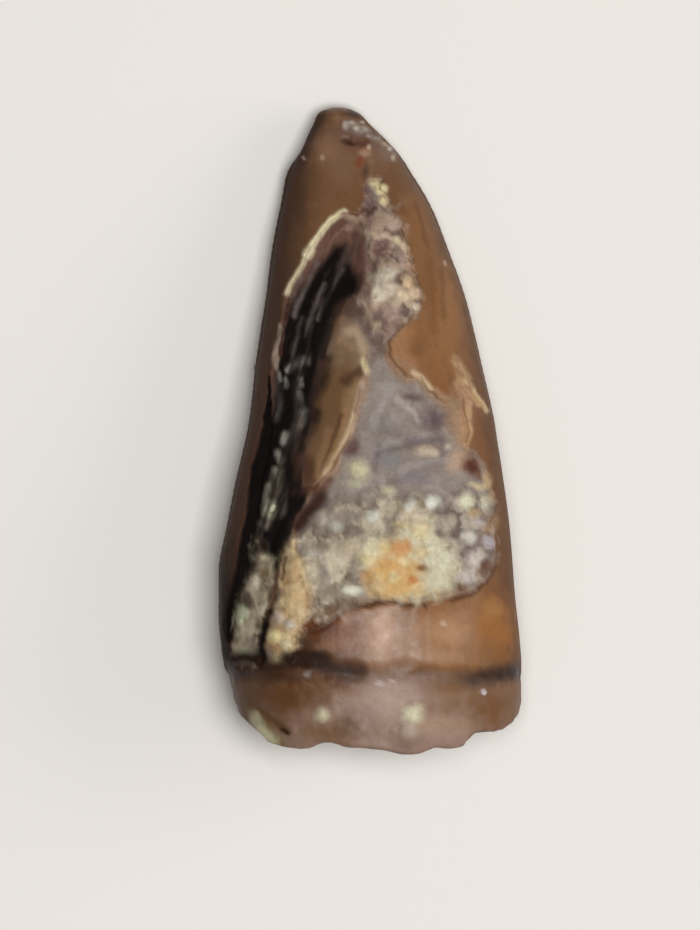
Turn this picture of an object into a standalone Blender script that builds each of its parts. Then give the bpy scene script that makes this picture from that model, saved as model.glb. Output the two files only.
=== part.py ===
"""A fossil tyrannosaur tooth, lying on its flatter side with the tip along +Y.

The tooth is one solid. It starts as a UV sphere whose lower pole becomes the middle of
the broken base and whose upper pole becomes the tip. The sphere is reshaped into an oval
crown, and the relief of the fossil is then pressed into it: the field where the enamel
has flaked off, the deep trough beside it, the tongue of enamel left between them, the
sandy crust, the ring crack above the root, the worn tip and the broken base.

Sizes below are millimetres in the tooth's own plan: "across" runs from its left edge to
its right edge and "up" runs from the broken base to the tip. The mesh is in metres.
"""

import bmesh
import bpy
import numpy as np
from mathutils import Vector, noise

MM = 0.001

TOOTH_LENGTH = 36.0
COLUMNS = 168
ROWS = 156
BASE_SHARE = 0.13
TIP_GATHER = 1.35
FACE_GATHER = 0.22
SOLID_SHARE = 0.178
FLAT_REACH = 0.01

# Plan outline seen from above: (up, across) of the left and the right edge.
LEFT_EDGE = [
    (0.0, -7.1), (1.2, -7.3), (2.4, -7.55), (4.0, -8.0), (5.6, -8.3), (8.6, -8.4), (10.8, -8.35),
    (12.4, -8.0), (15.2, -7.45), (18.0, -6.8), (21.7, -6.3), (25.3, -5.75), (28.4, -5.35),
    (30.6, -4.9), (32.4, -4.5), (33.7, -3.9), (34.6, -3.6), (35.2, -3.4), (36.0, -3.3),
]
RIGHT_EDGE = [
    (0.0, 8.0), (1.5, 8.1), (2.4, 8.25), (4.7, 8.3), (6.3, 8.2), (8.6, 7.95), (12.4, 7.65),
    (15.2, 7.3), (18.0, 6.83), (21.7, 6.0), (25.3, 5.12), (28.4, 4.0), (30.6, 3.1),
    (32.4, 2.0), (33.7, 1.2), (34.6, 0.35), (35.2, -0.25), (36.0, -0.8),
]
# Half of the thickness and the height of the underside, along the tooth.
HALF_THICKNESS = [
    (0.0, 5.6), (4.0, 5.9), (8.5, 5.85), (12.4, 5.5), (18.0, 4.75), (21.7, 4.2), (25.3, 3.55),
    (28.4, 2.95), (30.6, 2.45), (32.4, 2.0), (33.7, 1.65), (34.6, 1.4), (35.2, 1.2), (36.0, 1.1),
]
UNDERSIDE = [
    (0.0, 0.1), (5.0, -0.1), (9.0, -0.08), (16.0, 0.16), (23.0, -0.02), (26.5, -0.1),
    (30.0, 0.02), (33.0, 0.35), (36.0, 0.8),
]
SECTION_POWER = 2.2
TIP_ROUNDING = 0.65
RIM_ROUNDING = 0.3
RIM_LEVEL = 1.5

# The broken edge of the base: (across, up), as the upper face and the underside show it.
UPPER_BREAK = [
    (-7.3, 2.1), (-6.6, 1.34), (-5.9, 0.7), (-5.2, 0.42), (-3.9, 0.38), (-3.1, 0.66),
    (-1.3, 0.42), (0.7, 0.22), (1.8, 0.0), (2.7, 0.06), (3.5, 0.36), (5.2, 0.52), (5.8, 1.1),
    (7.1, 1.35), (7.8, 1.6), (8.2, 2.1),
]
LOWER_BREAK = [(-7.3, 2.2), (-5.0, 1.6), (-1.5, 2.2), (2.0, 1.4), (5.0, 2.0), (8.2, 2.2)]
PULP_HOLLOW_DEPTH = 0.9

# Outlines of the relief on the upper face: (across, up).
DENTINE_FIELD = [
    (-0.6, 30.1), (-0.2, 32.2), (0.9, 30.8), (1.8, 28.6), (2.4, 26.4), (2.7, 25.0), (1.5, 23.6),
    (0.9, 22.4), (1.9, 21.1), (2.7, 21.0), (3.6, 19.8), (4.7, 19.8), (5.3, 17.0), (6.3, 16.1),
    (6.8, 14.1), (6.5, 13.0), (6.8, 11.3), (5.9, 9.5), (3.8, 8.8), (1.3, 8.7), (-1.7, 8.3),
    (-3.3, 7.5), (-4.2, 7.0), (-4.6, 5.7), (-5.8, 5.2), (-6.2, 8.6), (-4.5, 12.5), (-3.3, 15.0),
    (-1.6, 16.0), (-1.0, 18.8), (-0.6, 21.6), (-2.4, 23.0), (-2.2, 26.0), (-1.2, 28.6),
]
TROUGH = [
    (-1.7, 30.2), (-0.6, 29.8), (-0.4, 27.0), (-1.5, 24.6), (-2.6, 22.0), (-2.9, 19.5),
    (-3.3, 16.5), (-3.4, 14.6), (-4.6, 12.4), (-6.0, 9.6), (-5.9, 5.4), (-7.2, 5.0), (-7.9, 7.0),
    (-7.6, 10.4), (-6.8, 14.4), (-6.2, 17.4), (-5.7, 20.0), (-4.9, 23.4), (-4.6, 25.6),
    (-3.6, 27.3), (-2.6, 28.9),
]
SPLINTER = [(4.5, 21.9), (5.0, 21.3), (6.1, 19.9), (6.6, 19.0), (5.4, 19.9), (4.3, 20.6)]
ENAMEL_TONGUE = [
    (-1.9, 23.4), (-0.6, 23.6), (-0.4, 22.2), (-0.9, 20.0), (-1.3, 18.2), (-2.2, 16.4),
    (-3.1, 15.1), (-3.4, 15.6), (-3.1, 18.2), (-2.7, 20.8), (-2.5, 22.6),
]
ENAMEL_STEP = 0.34
TROUGH_DEPTH = 1.15
TROUGH_BANK = 1.3
EDGE_SHARPNESS = 0.16

# Grooves: the route as (across, up), the half width and the depth.
SIDE_GROOVE = {
    "route": [(-5.8, 19.4), (-6.2, 17.2), (-6.6, 14.6), (-7.1, 11.8), (-7.6, 9.0), (-7.9, 6.6)],
    "half_width": 0.32,
    "depth": 0.75,
}
RING_CRACK = {
    "route": [(-8.6, 5.4), (-4.5, 5.5), (-1.9, 5.0), (1.7, 5.0), (3.3, 4.5), (5.4, 4.4), (8.6, 4.8)],
    "half_width": 0.34,
    "depth": 0.34,
}
FIELD_CRACK = {
    "route": [(0.2, 15.6), (0.4, 17.0), (2.2, 17.5), (3.6, 17.6)],
    "half_width": 0.22,
    "depth": 0.2,
}
UNDER_CRACKS = [
    {"route": [(1.4, 3.0), (1.0, 9.0), (1.5, 16.0), (0.6, 23.5)], "half_width": 0.2, "depth": 0.22},
    {"route": [(-4.6, 7.0), (-3.9, 13.0), (-4.1, 19.0)], "half_width": 0.18, "depth": 0.18},
]
# A flake lost from the enamel of the underside.
UNDER_FLAKE = [
    (2.6, 12.6), (4.4, 13.0), (5.6, 10.8), (6.2, 7.6), (5.0, 5.6), (3.4, 6.2), (2.2, 8.2), (2.9, 10.4),
]

# Sandy lumps of the crust: (across, up, radius, height).
CRUST_LUMPS = [
    (3.9, 10.8, 1.5, 0.75), (2.4, 11.6, 0.9, 0.6), (1.2, 9.8, 1.2, 0.55), (0.1, 11.2, 0.8, 0.6),
    (3.0, 9.2, 1.0, 0.45), (-4.2, 9.6, 0.8, 0.8), (-3.7, 8.3, 0.8, 0.75), (-4.8, 7.0, 0.7, 0.7),
    (-5.2, 5.8, 0.5, 0.6), (-6.6, 9.4, 0.8, 0.75), (-6.4, 11.4, 0.6, 0.6), (-7.0, 7.2, 0.6, 0.6),
    (0.9, 25.8, 0.9, 0.55), (1.5, 24.6, 0.7, 0.5), (1.1, 28.4, 0.7, 0.4), (1.8, 26.9, 0.6, 0.4),
    (0.4, 31.6, 0.35, 0.4), (0.7, 30.6, 0.3, 0.35), (-1.4, 9.2, 1.1, 0.4), (-0.8, 15.7, 0.6, 0.5),
    (0.9, 14.8, 0.5, 0.4), (2.1, 14.0, 0.4, 0.45), (3.3, 14.1, 0.4, 0.45), (0.1, 13.4, 0.4, 0.45),
    (5.1, 14.8, 0.6, 0.35), (6.1, 14.0, 0.5, 0.35), (5.4, 14.0, 0.4, 0.4), (5.9, 12.2, 0.5, 0.45),
    (5.6, 10.6, 0.6, 0.45), (4.7, 9.7, 0.5, 0.4), (-4.0, 21.6, 0.5, 0.7), (-5.0, 17.6, 0.4, 0.6),
    (-5.6, 13.7, 0.45, 0.6),
]
CRUST_LEVEL = 0.08

# Bruises: rounded dents as (across, up, radius across, radius up, depth).
DENTS = [
    (-0.6, 34.8, 1.0, 0.8, 0.32), (0.5, 34.0, 0.7, 0.5, 0.22), (-1.3, 33.6, 0.6, 0.3, 0.14),
    (5.4, 16.2, 0.45, 0.5, 0.4), (-6.0, 1.8, 0.7, 1.1, 0.45), (6.8, 2.4, 1.0, 0.7, 0.25),
    (-2.3, 2.4, 0.5, 0.45, 0.2), (4.5, 1.4, 0.9, 0.6, 0.25),
]
KNOB = (2.2, 1.4, 1.3, 0.3)
ROOT_STEP = 0.12
ROOT_TOP = 4.7
GRAIN_SIZE = 0.9
ROUGHNESS = {"crust": 0.09, "root": 0.07, "base": 0.32}

# The two cutting ridges: angle round the section in degrees, reach along the tooth, height.
RIDGES = [
    {"angle": 190.0, "from": 4.0, "to": 34.0, "height": 0.3},
    {"angle": -10.0, "from": 15.0, "to": 34.5, "height": 0.22},
]
RIDGE_WIDTH = 3.2

TOOTH_COLOUR = (0.20, 0.115, 0.062, 1.0)
TOOTH_ROUGHNESS = 0.38


def ease(value, low, high):
    """0 below low, 1 above high and a smooth step between."""
    t = np.clip((value - low) / (high - low), 0.0, 1.0)
    return t * t * (3.0 - 2.0 * t)


def curve_through(places, at):
    """A smooth curve through (place, value) pairs, read at an array of places."""
    knots, values = np.array(places, float).T
    slopes = np.gradient(values, knots)
    at = np.clip(at, knots[0], knots[-1])
    k = np.clip(np.searchsorted(knots, at) - 1, 0, len(knots) - 2)
    gap = knots[k + 1] - knots[k]
    t = (at - knots[k]) / gap
    rising = t * t * (3.0 - 2.0 * t)
    leaving = gap * t * (1.0 - t) ** 2 * slopes[k]
    arriving = gap * t * t * (1.0 - t) * slopes[k + 1]
    return values[k] * (1.0 - rising) + values[k + 1] * rising + leaving - arriving


def distance_to_route(across, up, route):
    """Distance from each point to the nearest stretch of a route of straight runs."""
    nearest = np.full(across.shape, np.inf)
    for (x0, y0), (x1, y1) in zip(route[:-1], route[1:]):
        run_x, run_y = x1 - x0, y1 - y0
        t = ((across - x0) * run_x + (up - y0) * run_y) / (run_x**2 + run_y**2)
        t = np.clip(t, 0.0, 1.0)
        gap = np.hypot(across - x0 - t * run_x, up - y0 - t * run_y)
        nearest = np.minimum(nearest, gap)
    return nearest


def depth_inside(across, up, outline):
    """Distance to a closed outline, positive inside it and negative outside."""
    closed = outline + outline[:1]
    crossings = np.zeros(across.shape, int)
    for (x0, y0), (x1, y1) in zip(closed[:-1], closed[1:]):
        spans = (y0 > up) != (y1 > up)
        meets = x0 + (up - y0) * (x1 - x0) / (y1 - y0 if y1 != y0 else 1.0)
        crossings += spans & (across < meets)
    sign = np.where(crossings % 2 == 1, 1.0, -1.0)
    return sign * distance_to_route(across, up, closed)


def cloud(points, size, seed):
    """Smooth noise from about -1 to 1 at each point, with features of the given size."""
    shift = Vector((seed * 17.3, seed * 5.1, seed * 9.7))
    return np.array([noise.fractal(Vector(p) / size + shift, 0.8, 2.0, 3) for p in points])


def sphere_of_rows():
    """The starting sphere, with each point's turn round the axis and its share of the way up."""
    mesh = bpy.data.meshes.new("full_tooth")
    bm = bmesh.new()
    bmesh.ops.create_uvsphere(bm, u_segments=COLUMNS, v_segments=ROWS, radius=1.0)
    bm.to_mesh(mesh)
    bm.free()
    x, y, z = positions(mesh).T
    turn = np.arctan2(-y, x)
    share = 1.0 - np.arccos(np.clip(z, -1.0, 1.0)) / np.pi
    return mesh, turn, share


def crown(turn, share):
    """The bare tooth: an oval section whose edges follow the plan outline, closed by the broken base."""
    turn = turn - FACE_GATHER * np.sin(2.0 * turn) * (turn > 0)
    side, rise = np.cos(turn), np.sin(turn)
    side = np.sign(side) * np.abs(side) ** (2.0 / SECTION_POWER)
    rise = np.sign(rise) * np.abs(rise) ** (2.0 / SECTION_POWER)

    rim_left = curve_through(LEFT_EDGE, RIM_LEVEL)
    rim_right = curve_through(RIGHT_EDGE, RIM_LEVEL)
    foot_across = (rim_left + rim_right + side * (rim_right - rim_left)) / 2.0
    upper = ease(rise, -0.35, 0.35)
    edge = upper * curve_through(UPPER_BREAK, foot_across)
    edge += (1.0 - upper) * curve_through(LOWER_BREAK, foot_across)

    wall = np.clip((share - BASE_SHARE) / (1.0 - BASE_SHARE), 0.0, 1.0)
    up = edge + (TOOTH_LENGTH - edge) * (1.0 - (1.0 - wall) ** TIP_GATHER)
    left = curve_through(LEFT_EDGE, up)
    right = curve_through(RIGHT_EDGE, up)
    half_thickness = curve_through(HALF_THICKNESS, up)

    tip = np.clip((up - TOOTH_LENGTH) / TIP_ROUNDING + 1.0, 0.0, 1.0)
    half_thickness = half_thickness * np.sqrt(1.0 - tip**2)
    half_width = (right - left) / 2.0 * np.sqrt(1.0 - tip**2)
    rim = 1.0 - np.clip((up - edge) / RIM_ROUNDING, 0.0, 1.0)
    inset = RIM_ROUNDING * (1.0 - np.sqrt(1.0 - rim**2))

    ring = np.clip(share / BASE_SHARE, 0.0, 1.0)
    across = (left + right) / 2.0 + side * (half_width - inset) * ring
    height = curve_through(UNDERSIDE, up) + curve_through(HALF_THICKNESS, up)
    height = height + rise * (half_thickness - inset) * ring
    up = up + (1.0 - ring**2) * (PULP_HOLLOW_DEPTH + 0.9 - edge)
    return np.stack([across, up, height], axis=1), ring


def groove(across, up, crack):
    away = distance_to_route(across, up, crack["route"]) / crack["half_width"]
    return -crack["depth"] * np.exp(-(away**2))


def upper_relief(across, up, grain, wander):
    """How far the upper face stands above the bare tooth, and how sandy it is."""
    x = across + 0.25 * wander
    y = up + 0.35 * grain
    tongue = depth_inside(x, y, ENAMEL_TONGUE)
    trough = np.minimum(depth_inside(x, y, TROUGH), -tongue)
    field = np.maximum(depth_inside(x, y, DENTINE_FIELD), depth_inside(x, y, SPLINTER))
    bare = np.minimum(np.maximum(field, trough), -tongue)
    flaked = ease(bare, -EDGE_SHARPNESS, EDGE_SHARPNESS)
    relief = -ENAMEL_STEP * flaked
    relief -= TROUGH_DEPTH * ease(trough, 0.0, TROUGH_BANK)
    relief += groove(x, y, SIDE_GROOVE) + groove(x, y, RING_CRACK)
    relief += flaked * groove(x, y, FIELD_CRACK)

    crust = CRUST_LEVEL * flaked
    for lump_x, lump_y, radius, lump_height in CRUST_LUMPS:
        away = np.hypot(x - lump_x, y - lump_y) / radius
        crust = np.maximum(crust, lump_height * (1.0 - ease(away, 0.25, 1.0)))
    relief += crust

    for dent_x, dent_y, reach_x, reach_y, depth in DENTS:
        away = np.hypot((across - dent_x) / reach_x, (up - dent_y) / reach_y)
        relief -= depth * (1.0 - ease(away, 0.45, 1.0))
    knob_x, knob_y, knob_reach, knob_height = KNOB
    away = np.hypot(across - knob_x, up - knob_y) / knob_reach
    relief += knob_height * (1.0 - ease(away, 0.2, 1.0))
    return relief, flaked


def under_relief(across, up, wander):
    """The quieter relief of the underside: long cracks and one lost flake."""
    x = across + 0.3 * wander
    flake = depth_inside(x, up, UNDER_FLAKE)
    relief = -ENAMEL_STEP * ease(flake, -EDGE_SHARPNESS, EDGE_SHARPNESS)
    relief += groove(x, up, RING_CRACK)
    for crack in UNDER_CRACKS:
        relief += groove(x, up, crack)
    return relief


def ridges(turn, up):
    """The front and back cutting ridges of the crown."""
    relief = np.zeros(turn.shape)
    for ridge in RIDGES:
        away = np.angle(np.exp(1j * (turn - np.radians(ridge["angle"]))))
        reach = ease(up, ridge["from"], ridge["from"] + 4.0)
        reach = reach * (1.0 - ease(up, ridge["to"] - 2.0, ridge["to"]))
        relief += ridge["height"] * reach * np.exp(-np.abs(np.degrees(away)) / RIDGE_WIDTH)
    return relief


def pressed(mesh, points, turn, ring):
    """The bare tooth with the relief moved in and out along its own normals."""
    move_to(mesh, points)
    normals = np.empty(len(points) * 3, np.float32)
    mesh.vertex_normals.foreach_get("vector", normals)
    normals = normals.reshape(-1, 3).astype(float)

    across, up, _ = points.T
    grain = cloud(points, GRAIN_SIZE, 1)
    wander = cloud(points, 2.4, 2)
    faces_up = ease(normals[:, 2], -0.05, 0.25)
    faces_down = ease(-normals[:, 2], 0.0, 0.3)
    upper, flaked = upper_relief(across, up, grain, wander)
    relief = faces_up * upper + faces_down * under_relief(across, up, wander)
    relief += ridges(turn, up)
    root = 1.0 - ease(up, ROOT_TOP - 0.3, ROOT_TOP + 0.1)
    relief += root * (ROUGHNESS["root"] * wander - ROOT_STEP)
    relief += ROUGHNESS["crust"] * grain * flaked * faces_up
    points = points + normals * (relief * (ring == 1.0))[:, None]
    points[:, 1] += ROUGHNESS["base"] * (wander + 0.35 * grain) * ease(1.0 - ring, 0.0, 0.2)
    return points


def positions(mesh):
    points = np.empty(len(mesh.vertices) * 3, np.float32)
    mesh.vertices.foreach_get("co", points)
    return points.reshape(-1, 3).astype(float)


def move_to(mesh, points):
    mesh.vertices.foreach_set("co", points.astype(np.float32).ravel())
    mesh.update()


def thinned(mesh):
    """The same surface with fewer faces where it is smooth."""
    full = bpy.data.objects.new("full_tooth", mesh)
    bpy.context.scene.collection.objects.link(full)
    full.modifiers.new("thinned", "DECIMATE").ratio = SOLID_SHARE
    ready = full.evaluated_get(bpy.context.evaluated_depsgraph_get())
    light = bpy.data.meshes.new_from_object(ready)
    light.name = "tooth"
    bpy.data.objects.remove(full)
    return light


def set_down(mesh):
    """Rests the tooth on z = 0 on its own worn spots, with its box centred over the origin."""
    points = positions(mesh)
    points[:, 2] = np.where(points[:, 2] < FLAT_REACH * MM, 0.0, points[:, 2])
    middle = (points.min(axis=0) + points.max(axis=0)) / 2.0
    move_to(mesh, points - [middle[0], middle[1], 0.0])


def fossil_material():
    material = bpy.data.materials.new("fossil_enamel")
    material.use_nodes = True
    shader = material.node_tree.nodes["Principled BSDF"]
    shader.inputs["Base Color"].default_value = TOOTH_COLOUR
    shader.inputs["Roughness"].default_value = TOOTH_ROUGHNESS
    shader.inputs["Metallic"].default_value = 0.0
    return material


def build_tooth():
    full, turn, share = sphere_of_rows()
    bare, ring = crown(turn, share)
    points = pressed(full, bare, turn, ring)
    points[:, 2] = np.maximum(points[:, 2], 0.0)
    move_to(full, points * MM)
    mesh = thinned(full)
    set_down(mesh)
    mesh.shade_smooth()
    mesh.materials.append(fossil_material())
    return bpy.data.objects.new("tooth", mesh)


def main():
    for old in list(bpy.data.objects):
        bpy.data.objects.remove(old)
    group = bpy.data.collections.new("fossil_tooth")
    bpy.context.scene.collection.children.link(group)
    group.objects.link(build_tooth())


main()
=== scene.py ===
import bpy
import numpy as np
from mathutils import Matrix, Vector


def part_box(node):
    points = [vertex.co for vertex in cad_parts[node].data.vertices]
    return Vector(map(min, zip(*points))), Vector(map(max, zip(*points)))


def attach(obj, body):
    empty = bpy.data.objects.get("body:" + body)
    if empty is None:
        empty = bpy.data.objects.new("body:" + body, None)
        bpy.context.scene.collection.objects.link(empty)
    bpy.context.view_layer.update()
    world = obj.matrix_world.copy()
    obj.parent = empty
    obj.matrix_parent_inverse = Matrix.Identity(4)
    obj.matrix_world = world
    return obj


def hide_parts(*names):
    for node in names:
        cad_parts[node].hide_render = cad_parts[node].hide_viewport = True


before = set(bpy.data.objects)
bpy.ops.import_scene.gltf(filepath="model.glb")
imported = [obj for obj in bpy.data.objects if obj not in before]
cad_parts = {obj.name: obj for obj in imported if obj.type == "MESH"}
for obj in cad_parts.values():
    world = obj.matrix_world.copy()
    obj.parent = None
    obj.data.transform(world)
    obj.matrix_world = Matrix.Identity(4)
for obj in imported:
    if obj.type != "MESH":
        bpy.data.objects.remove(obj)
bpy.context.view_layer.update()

mm = 0.001
cadLow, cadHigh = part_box("tooth")
print("frame loaded, tooth box in mm:", [round(v / mm, 2) for v in (*cadLow, *cadHigh)])


# ease: 0 below low, 1 above high, 3t^2 - 2t^3 between
def ease(value, low, high):
    t = np.clip((value - low) / (high - low), 0.0, 1.0)
    return t * t * (3.0 - 2.0 * t)


# tint: an sRGB hex colour as linear red, green and blue
def tint(code):
    srgb = np.array([int(code[i : i + 2], 16) for i in (0, 2, 4)]) / 255.0
    return np.where(srgb <= 0.04045, srgb / 12.92, ((srgb + 0.055) / 1.055) ** 2.4)


# curveThrough: a cubic through (place, value) pairs, its slope at a pair taken from its neighbours
def curveThrough(places, at):
    knots, values = np.array(places, float).T
    slopes = np.gradient(values, knots)
    at = np.clip(at, knots[0], knots[-1])
    k = np.clip(np.searchsorted(knots, at) - 1, 0, len(knots) - 2)
    gap = knots[k + 1] - knots[k]
    t = (at - knots[k]) / gap
    rising = t * t * (3.0 - 2.0 * t)
    bend = gap * (t * (1.0 - t) ** 2 * slopes[k] - t * t * (1.0 - t) * slopes[k + 1])
    return values[k] + (values[k + 1] - values[k]) * rising + bend


# awayFrom: distance in the plan from each point to the nearest straight run of a route
def awayFrom(across, up, route):
    nearest = np.full(across.shape, np.inf)
    for (x0, y0), (x1, y1) in zip(route[:-1], route[1:]):
        runX, runY = x1 - x0, y1 - y0
        t = np.clip(((across - x0) * runX + (up - y0) * runY) / (runX**2 + runY**2), 0.0, 1.0)
        nearest = np.minimum(nearest, np.hypot(across - x0 - t * runX, up - y0 - t * runY))
    return nearest


# depthInside: distance to a closed outline, positive inside it and negative outside
def depthInside(across, up, outline):
    closed = outline + outline[:1]
    crossings = np.zeros(across.shape, int)
    for (x0, y0), (x1, y1) in zip(closed[:-1], closed[1:]):
        spans = (y0 > up) != (y1 > up)
        meets = x0 + (up - y0) * (x1 - x0) / (y1 - y0 if y1 != y0 else 1.0)
        crossings += spans & (across < meets)
    return np.where(crossings % 2 == 1, 1.0, -1.0) * awayFrom(across, up, closed)


# hashed: a number from 0 to 1 for each whole-numbered cell, the fraction of a large sine
def hashed(cell, seed):
    mixed = np.sin(cell @ np.array([127.1, 311.7, 74.7]) + seed * 53.3) * 43758.5453
    return mixed - np.floor(mixed)


# smoothNoise: hashed values at the eight corners round a point, blended by ease, from -1 to 1
def smoothNoise(points, seed):
    floor = np.floor(points)
    t = points - floor
    t = t * t * (3.0 - 2.0 * t)
    total = np.zeros(len(points))
    for corner in np.ndindex(2, 2, 2):
        share = np.prod(np.where(np.array(corner) == 1, t, 1.0 - t), axis=1)
        total += share * hashed(floor + corner, seed)
    return total * 2.0 - 1.0


# cloud: three layers of smoothNoise, each half the size and about half the strength of the last
def cloud(points, size, seed):
    points = points / size
    layers = [smoothNoise(points * 2.0**k + 11.3 * k, seed + k) * 0.55**k for k in range(3)]
    return sum(layers) / 1.4


# pebbles: distance to the nearest jittered cell centre, how far the second is beyond it, and the
# nearest cell's number
def pebbles(points, size, seed):
    points = points / size
    home = np.floor(points)
    first = np.full(len(points), 9.0)
    second = first.copy()
    number = np.zeros(len(points))
    for step in np.ndindex(3, 3, 3):
        cell = home + np.array(step) - 1.0
        jitter = np.stack([hashed(cell, seed + k) for k in range(3)], axis=1)
        away = np.linalg.norm(cell + jitter - points, axis=1)
        closer = away < first
        second = np.where(closer, first, np.minimum(second, away))
        number = np.where(closer, hashed(cell, seed + 5), number)
        first = np.where(closer, away, first)
    return first, second - first, number


# The tooth's form. Plan sizes are in millimetres: across from the left edge to the right, up from
# the base to the tip.
crown = {
    "length": 36.0,
    "topColumns": 214,
    "underColumns": 86,
    "baseRows": 26,
    "wallRows": 304,
    "gather": 0.12,
    "tipGather": 1.35,
    "sectionPower": 2.2,
    "tipRounding": 0.65,
    "rimRounding": 0.3,
    "rimLevel": 1.5,
    "hollow": 1.8,
    "headroom": 0.45,
    "left": [
        (0.0, -7.1), (1.2, -7.3), (2.4, -7.55), (4.0, -8.0), (5.6, -8.3), (8.6, -8.4), (10.8, -8.35),
        (12.4, -8.0), (15.2, -7.45), (18.0, -6.8), (21.7, -6.3), (25.3, -5.75), (28.4, -5.35),
        (30.6, -4.9), (32.4, -4.5), (33.7, -3.9), (34.6, -3.5), (35.2, -3.2), (36.0, -2.95),
    ],
    "right": [
        (0.0, 8.0), (1.5, 8.1), (2.4, 8.25), (4.7, 8.3), (6.3, 8.2), (8.6, 7.95), (12.4, 7.65),
        (15.2, 7.3), (18.0, 6.83), (21.7, 6.0), (25.3, 5.12), (28.4, 4.0), (30.6, 3.1),
        (32.4, 2.0), (33.7, 1.2), (34.6, 0.35), (35.2, -0.25), (36.0, -0.8),
    ],
    "halfThickness": [
        (0.0, 5.6), (4.0, 5.9), (8.5, 5.85), (12.4, 5.5), (18.0, 4.75), (21.7, 4.2), (25.3, 3.55),
        (28.4, 2.95), (30.6, 2.45), (32.4, 2.0), (33.7, 1.65), (34.6, 1.4), (35.2, 1.2), (36.0, 1.1),
    ],
    "underside": [
        (0.0, 0.1), (5.0, -0.1), (9.0, -0.08), (16.0, 0.16), (23.0, -0.02), (26.5, -0.1),
        (30.0, 0.02), (33.0, 0.35), (36.0, 0.8),
    ],
    "upperBreak": [
        (-7.3, 2.1), (-6.6, 1.34), (-5.9, 0.7), (-5.2, 0.42), (-3.9, 0.38), (-3.1, 0.66),
        (-1.3, 0.42), (0.7, 0.22), (1.8, 0.0), (2.7, 0.06), (3.5, 0.36), (5.2, 0.52), (5.8, 1.1),
        (7.1, 1.35), (7.8, 1.6), (8.2, 2.1),
    ],
    "lowerBreak": [(-7.3, 2.2), (-5.0, 1.6), (-1.5, 2.2), (2.0, 1.4), (5.0, 2.0), (8.2, 2.2)],
}


# gridOfRings: the turn round the tooth by column, closer over the top, and the row's place, -1 to 0 over
# the broken base and 0 to 1 up the wall
def gridOfRings(form):
    top = np.pi * np.arange(form["topColumns"]) / form["topColumns"]
    top = top + form["gather"] * np.sin(2.0 * top)
    under = np.pi * (1.0 + np.arange(form["underColumns"]) / form["underColumns"])
    base = np.linspace(-1.0, 0.0, form["baseRows"], endpoint=False)[1:]
    wall = 1.0 - (1.0 - np.linspace(0.0, 1.0, form["wallRows"])[:-1]) ** form["tipGather"]
    turn, place = np.meshgrid(np.concatenate([top, under]), np.concatenate([base, wall]))
    return turn, place


# bareCrown: a superellipse section, |cos|^(2/n) across and |sin|^(2/n) up, whose ends run through the
# plan's two edges, closed by the broken base below and a rounded tip above
def bareCrown(form, turn, place):
    power = 2.0 / form["sectionPower"]
    side = np.sign(np.cos(turn)) * np.abs(np.cos(turn)) ** power
    rise = np.sign(np.sin(turn)) * np.abs(np.sin(turn)) ** power
    rimLeft = curveThrough(form["left"], form["rimLevel"])
    rimRight = curveThrough(form["right"], form["rimLevel"])
    foot = (rimLeft + rimRight + side * (rimRight - rimLeft)) / 2.0
    upper = ease(rise, -0.35, 0.35)
    edge = upper * curveThrough(form["upperBreak"], foot)
    edge += (1.0 - upper) * curveThrough(form["lowerBreak"], foot)

    ring = 1.0 + np.minimum(place, 0.0)
    up = edge + (form["length"] - edge) * np.maximum(place, 0.0)
    left = curveThrough(form["left"], up)
    right = curveThrough(form["right"], up)
    half = curveThrough(form["halfThickness"], up)
    tip = np.clip((up - form["length"]) / form["tipRounding"] + 1.0, 0.0, 1.0)
    closing = np.sqrt(1.0 - tip**2)
    rim = 1.0 - np.clip((up - edge) / form["rimRounding"], 0.0, 1.0)
    inset = form["rimRounding"] * (1.0 - np.sqrt(1.0 - rim**2))
    across = (left + right) / 2.0 + side * ((right - left) / 2.0 * closing - inset) * ring
    height = curveThrough(form["underside"], up) + half + rise * (half * closing - inset) * ring
    up = up + (1.0 - ring**2) * (form["hollow"] - edge)
    return np.stack([across, up, height], axis=-1), ring


# outward: unit normals of a grid of rings, the cross product of its two directions
def outward(grid):
    wrapped = np.concatenate([grid[:, -1:], grid, grid[:, :1]], axis=1)
    alongTurn = wrapped[:, 2:] - wrapped[:, :-2]
    alongPlace = np.gradient(grid, axis=0)
    normal = np.cross(alongTurn, alongPlace)
    length = np.linalg.norm(normal, axis=-1, keepdims=True)
    return -normal / np.maximum(length, 1e-12)


turn, place = gridOfRings(crown)
bareGrid, ring = bareCrown(crown, turn, place)
normals = outward(bareGrid).reshape(-1, 3)
bare = bareGrid.reshape(-1, 3)
ring = ring.ravel()
print("bare crown:", len(bare), "points")


# Noise over the skin: a size in millimetres or a stretch by axis, then a seed.
noise = {
    "broad": (4.0, 3),
    "patchy": (1.4, 5),
    "mottle": (0.5, 7),
    "chunks": (0.8, 13),
    "chunkShift": 0.15,
    "bits": (0.36, 17),
    "lengthwise": ([1.3, 0.12, 1.3], 19),
    "fibres": ([3.0, 0.3, 0.5], 41),
    "hairlines": ([4.5, 0.3, 4.5], 43),
    "lean": (0.95, 0.3),
    "wanderSeeds": (21, 31),
    "wanderWide": (0.9, 0.13),
    "wanderFine": (0.3, 0.035),
}


# streaked: a cloud drawn out along one axis
def streaked(points, name):
    stretch, seed = noise[name]
    return cloud(points * stretch, 1.0, seed)


# wandered: a wide and a fine cloud, each times its reach, that make the outlines wander
def wandered(seed):
    wideSize, wideReach = noise["wanderWide"]
    fineSize, fineReach = noise["wanderFine"]
    return cloud(bare, wideSize, seed) * wideReach + cloud(bare, fineSize, seed + 4) * fineReach


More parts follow.
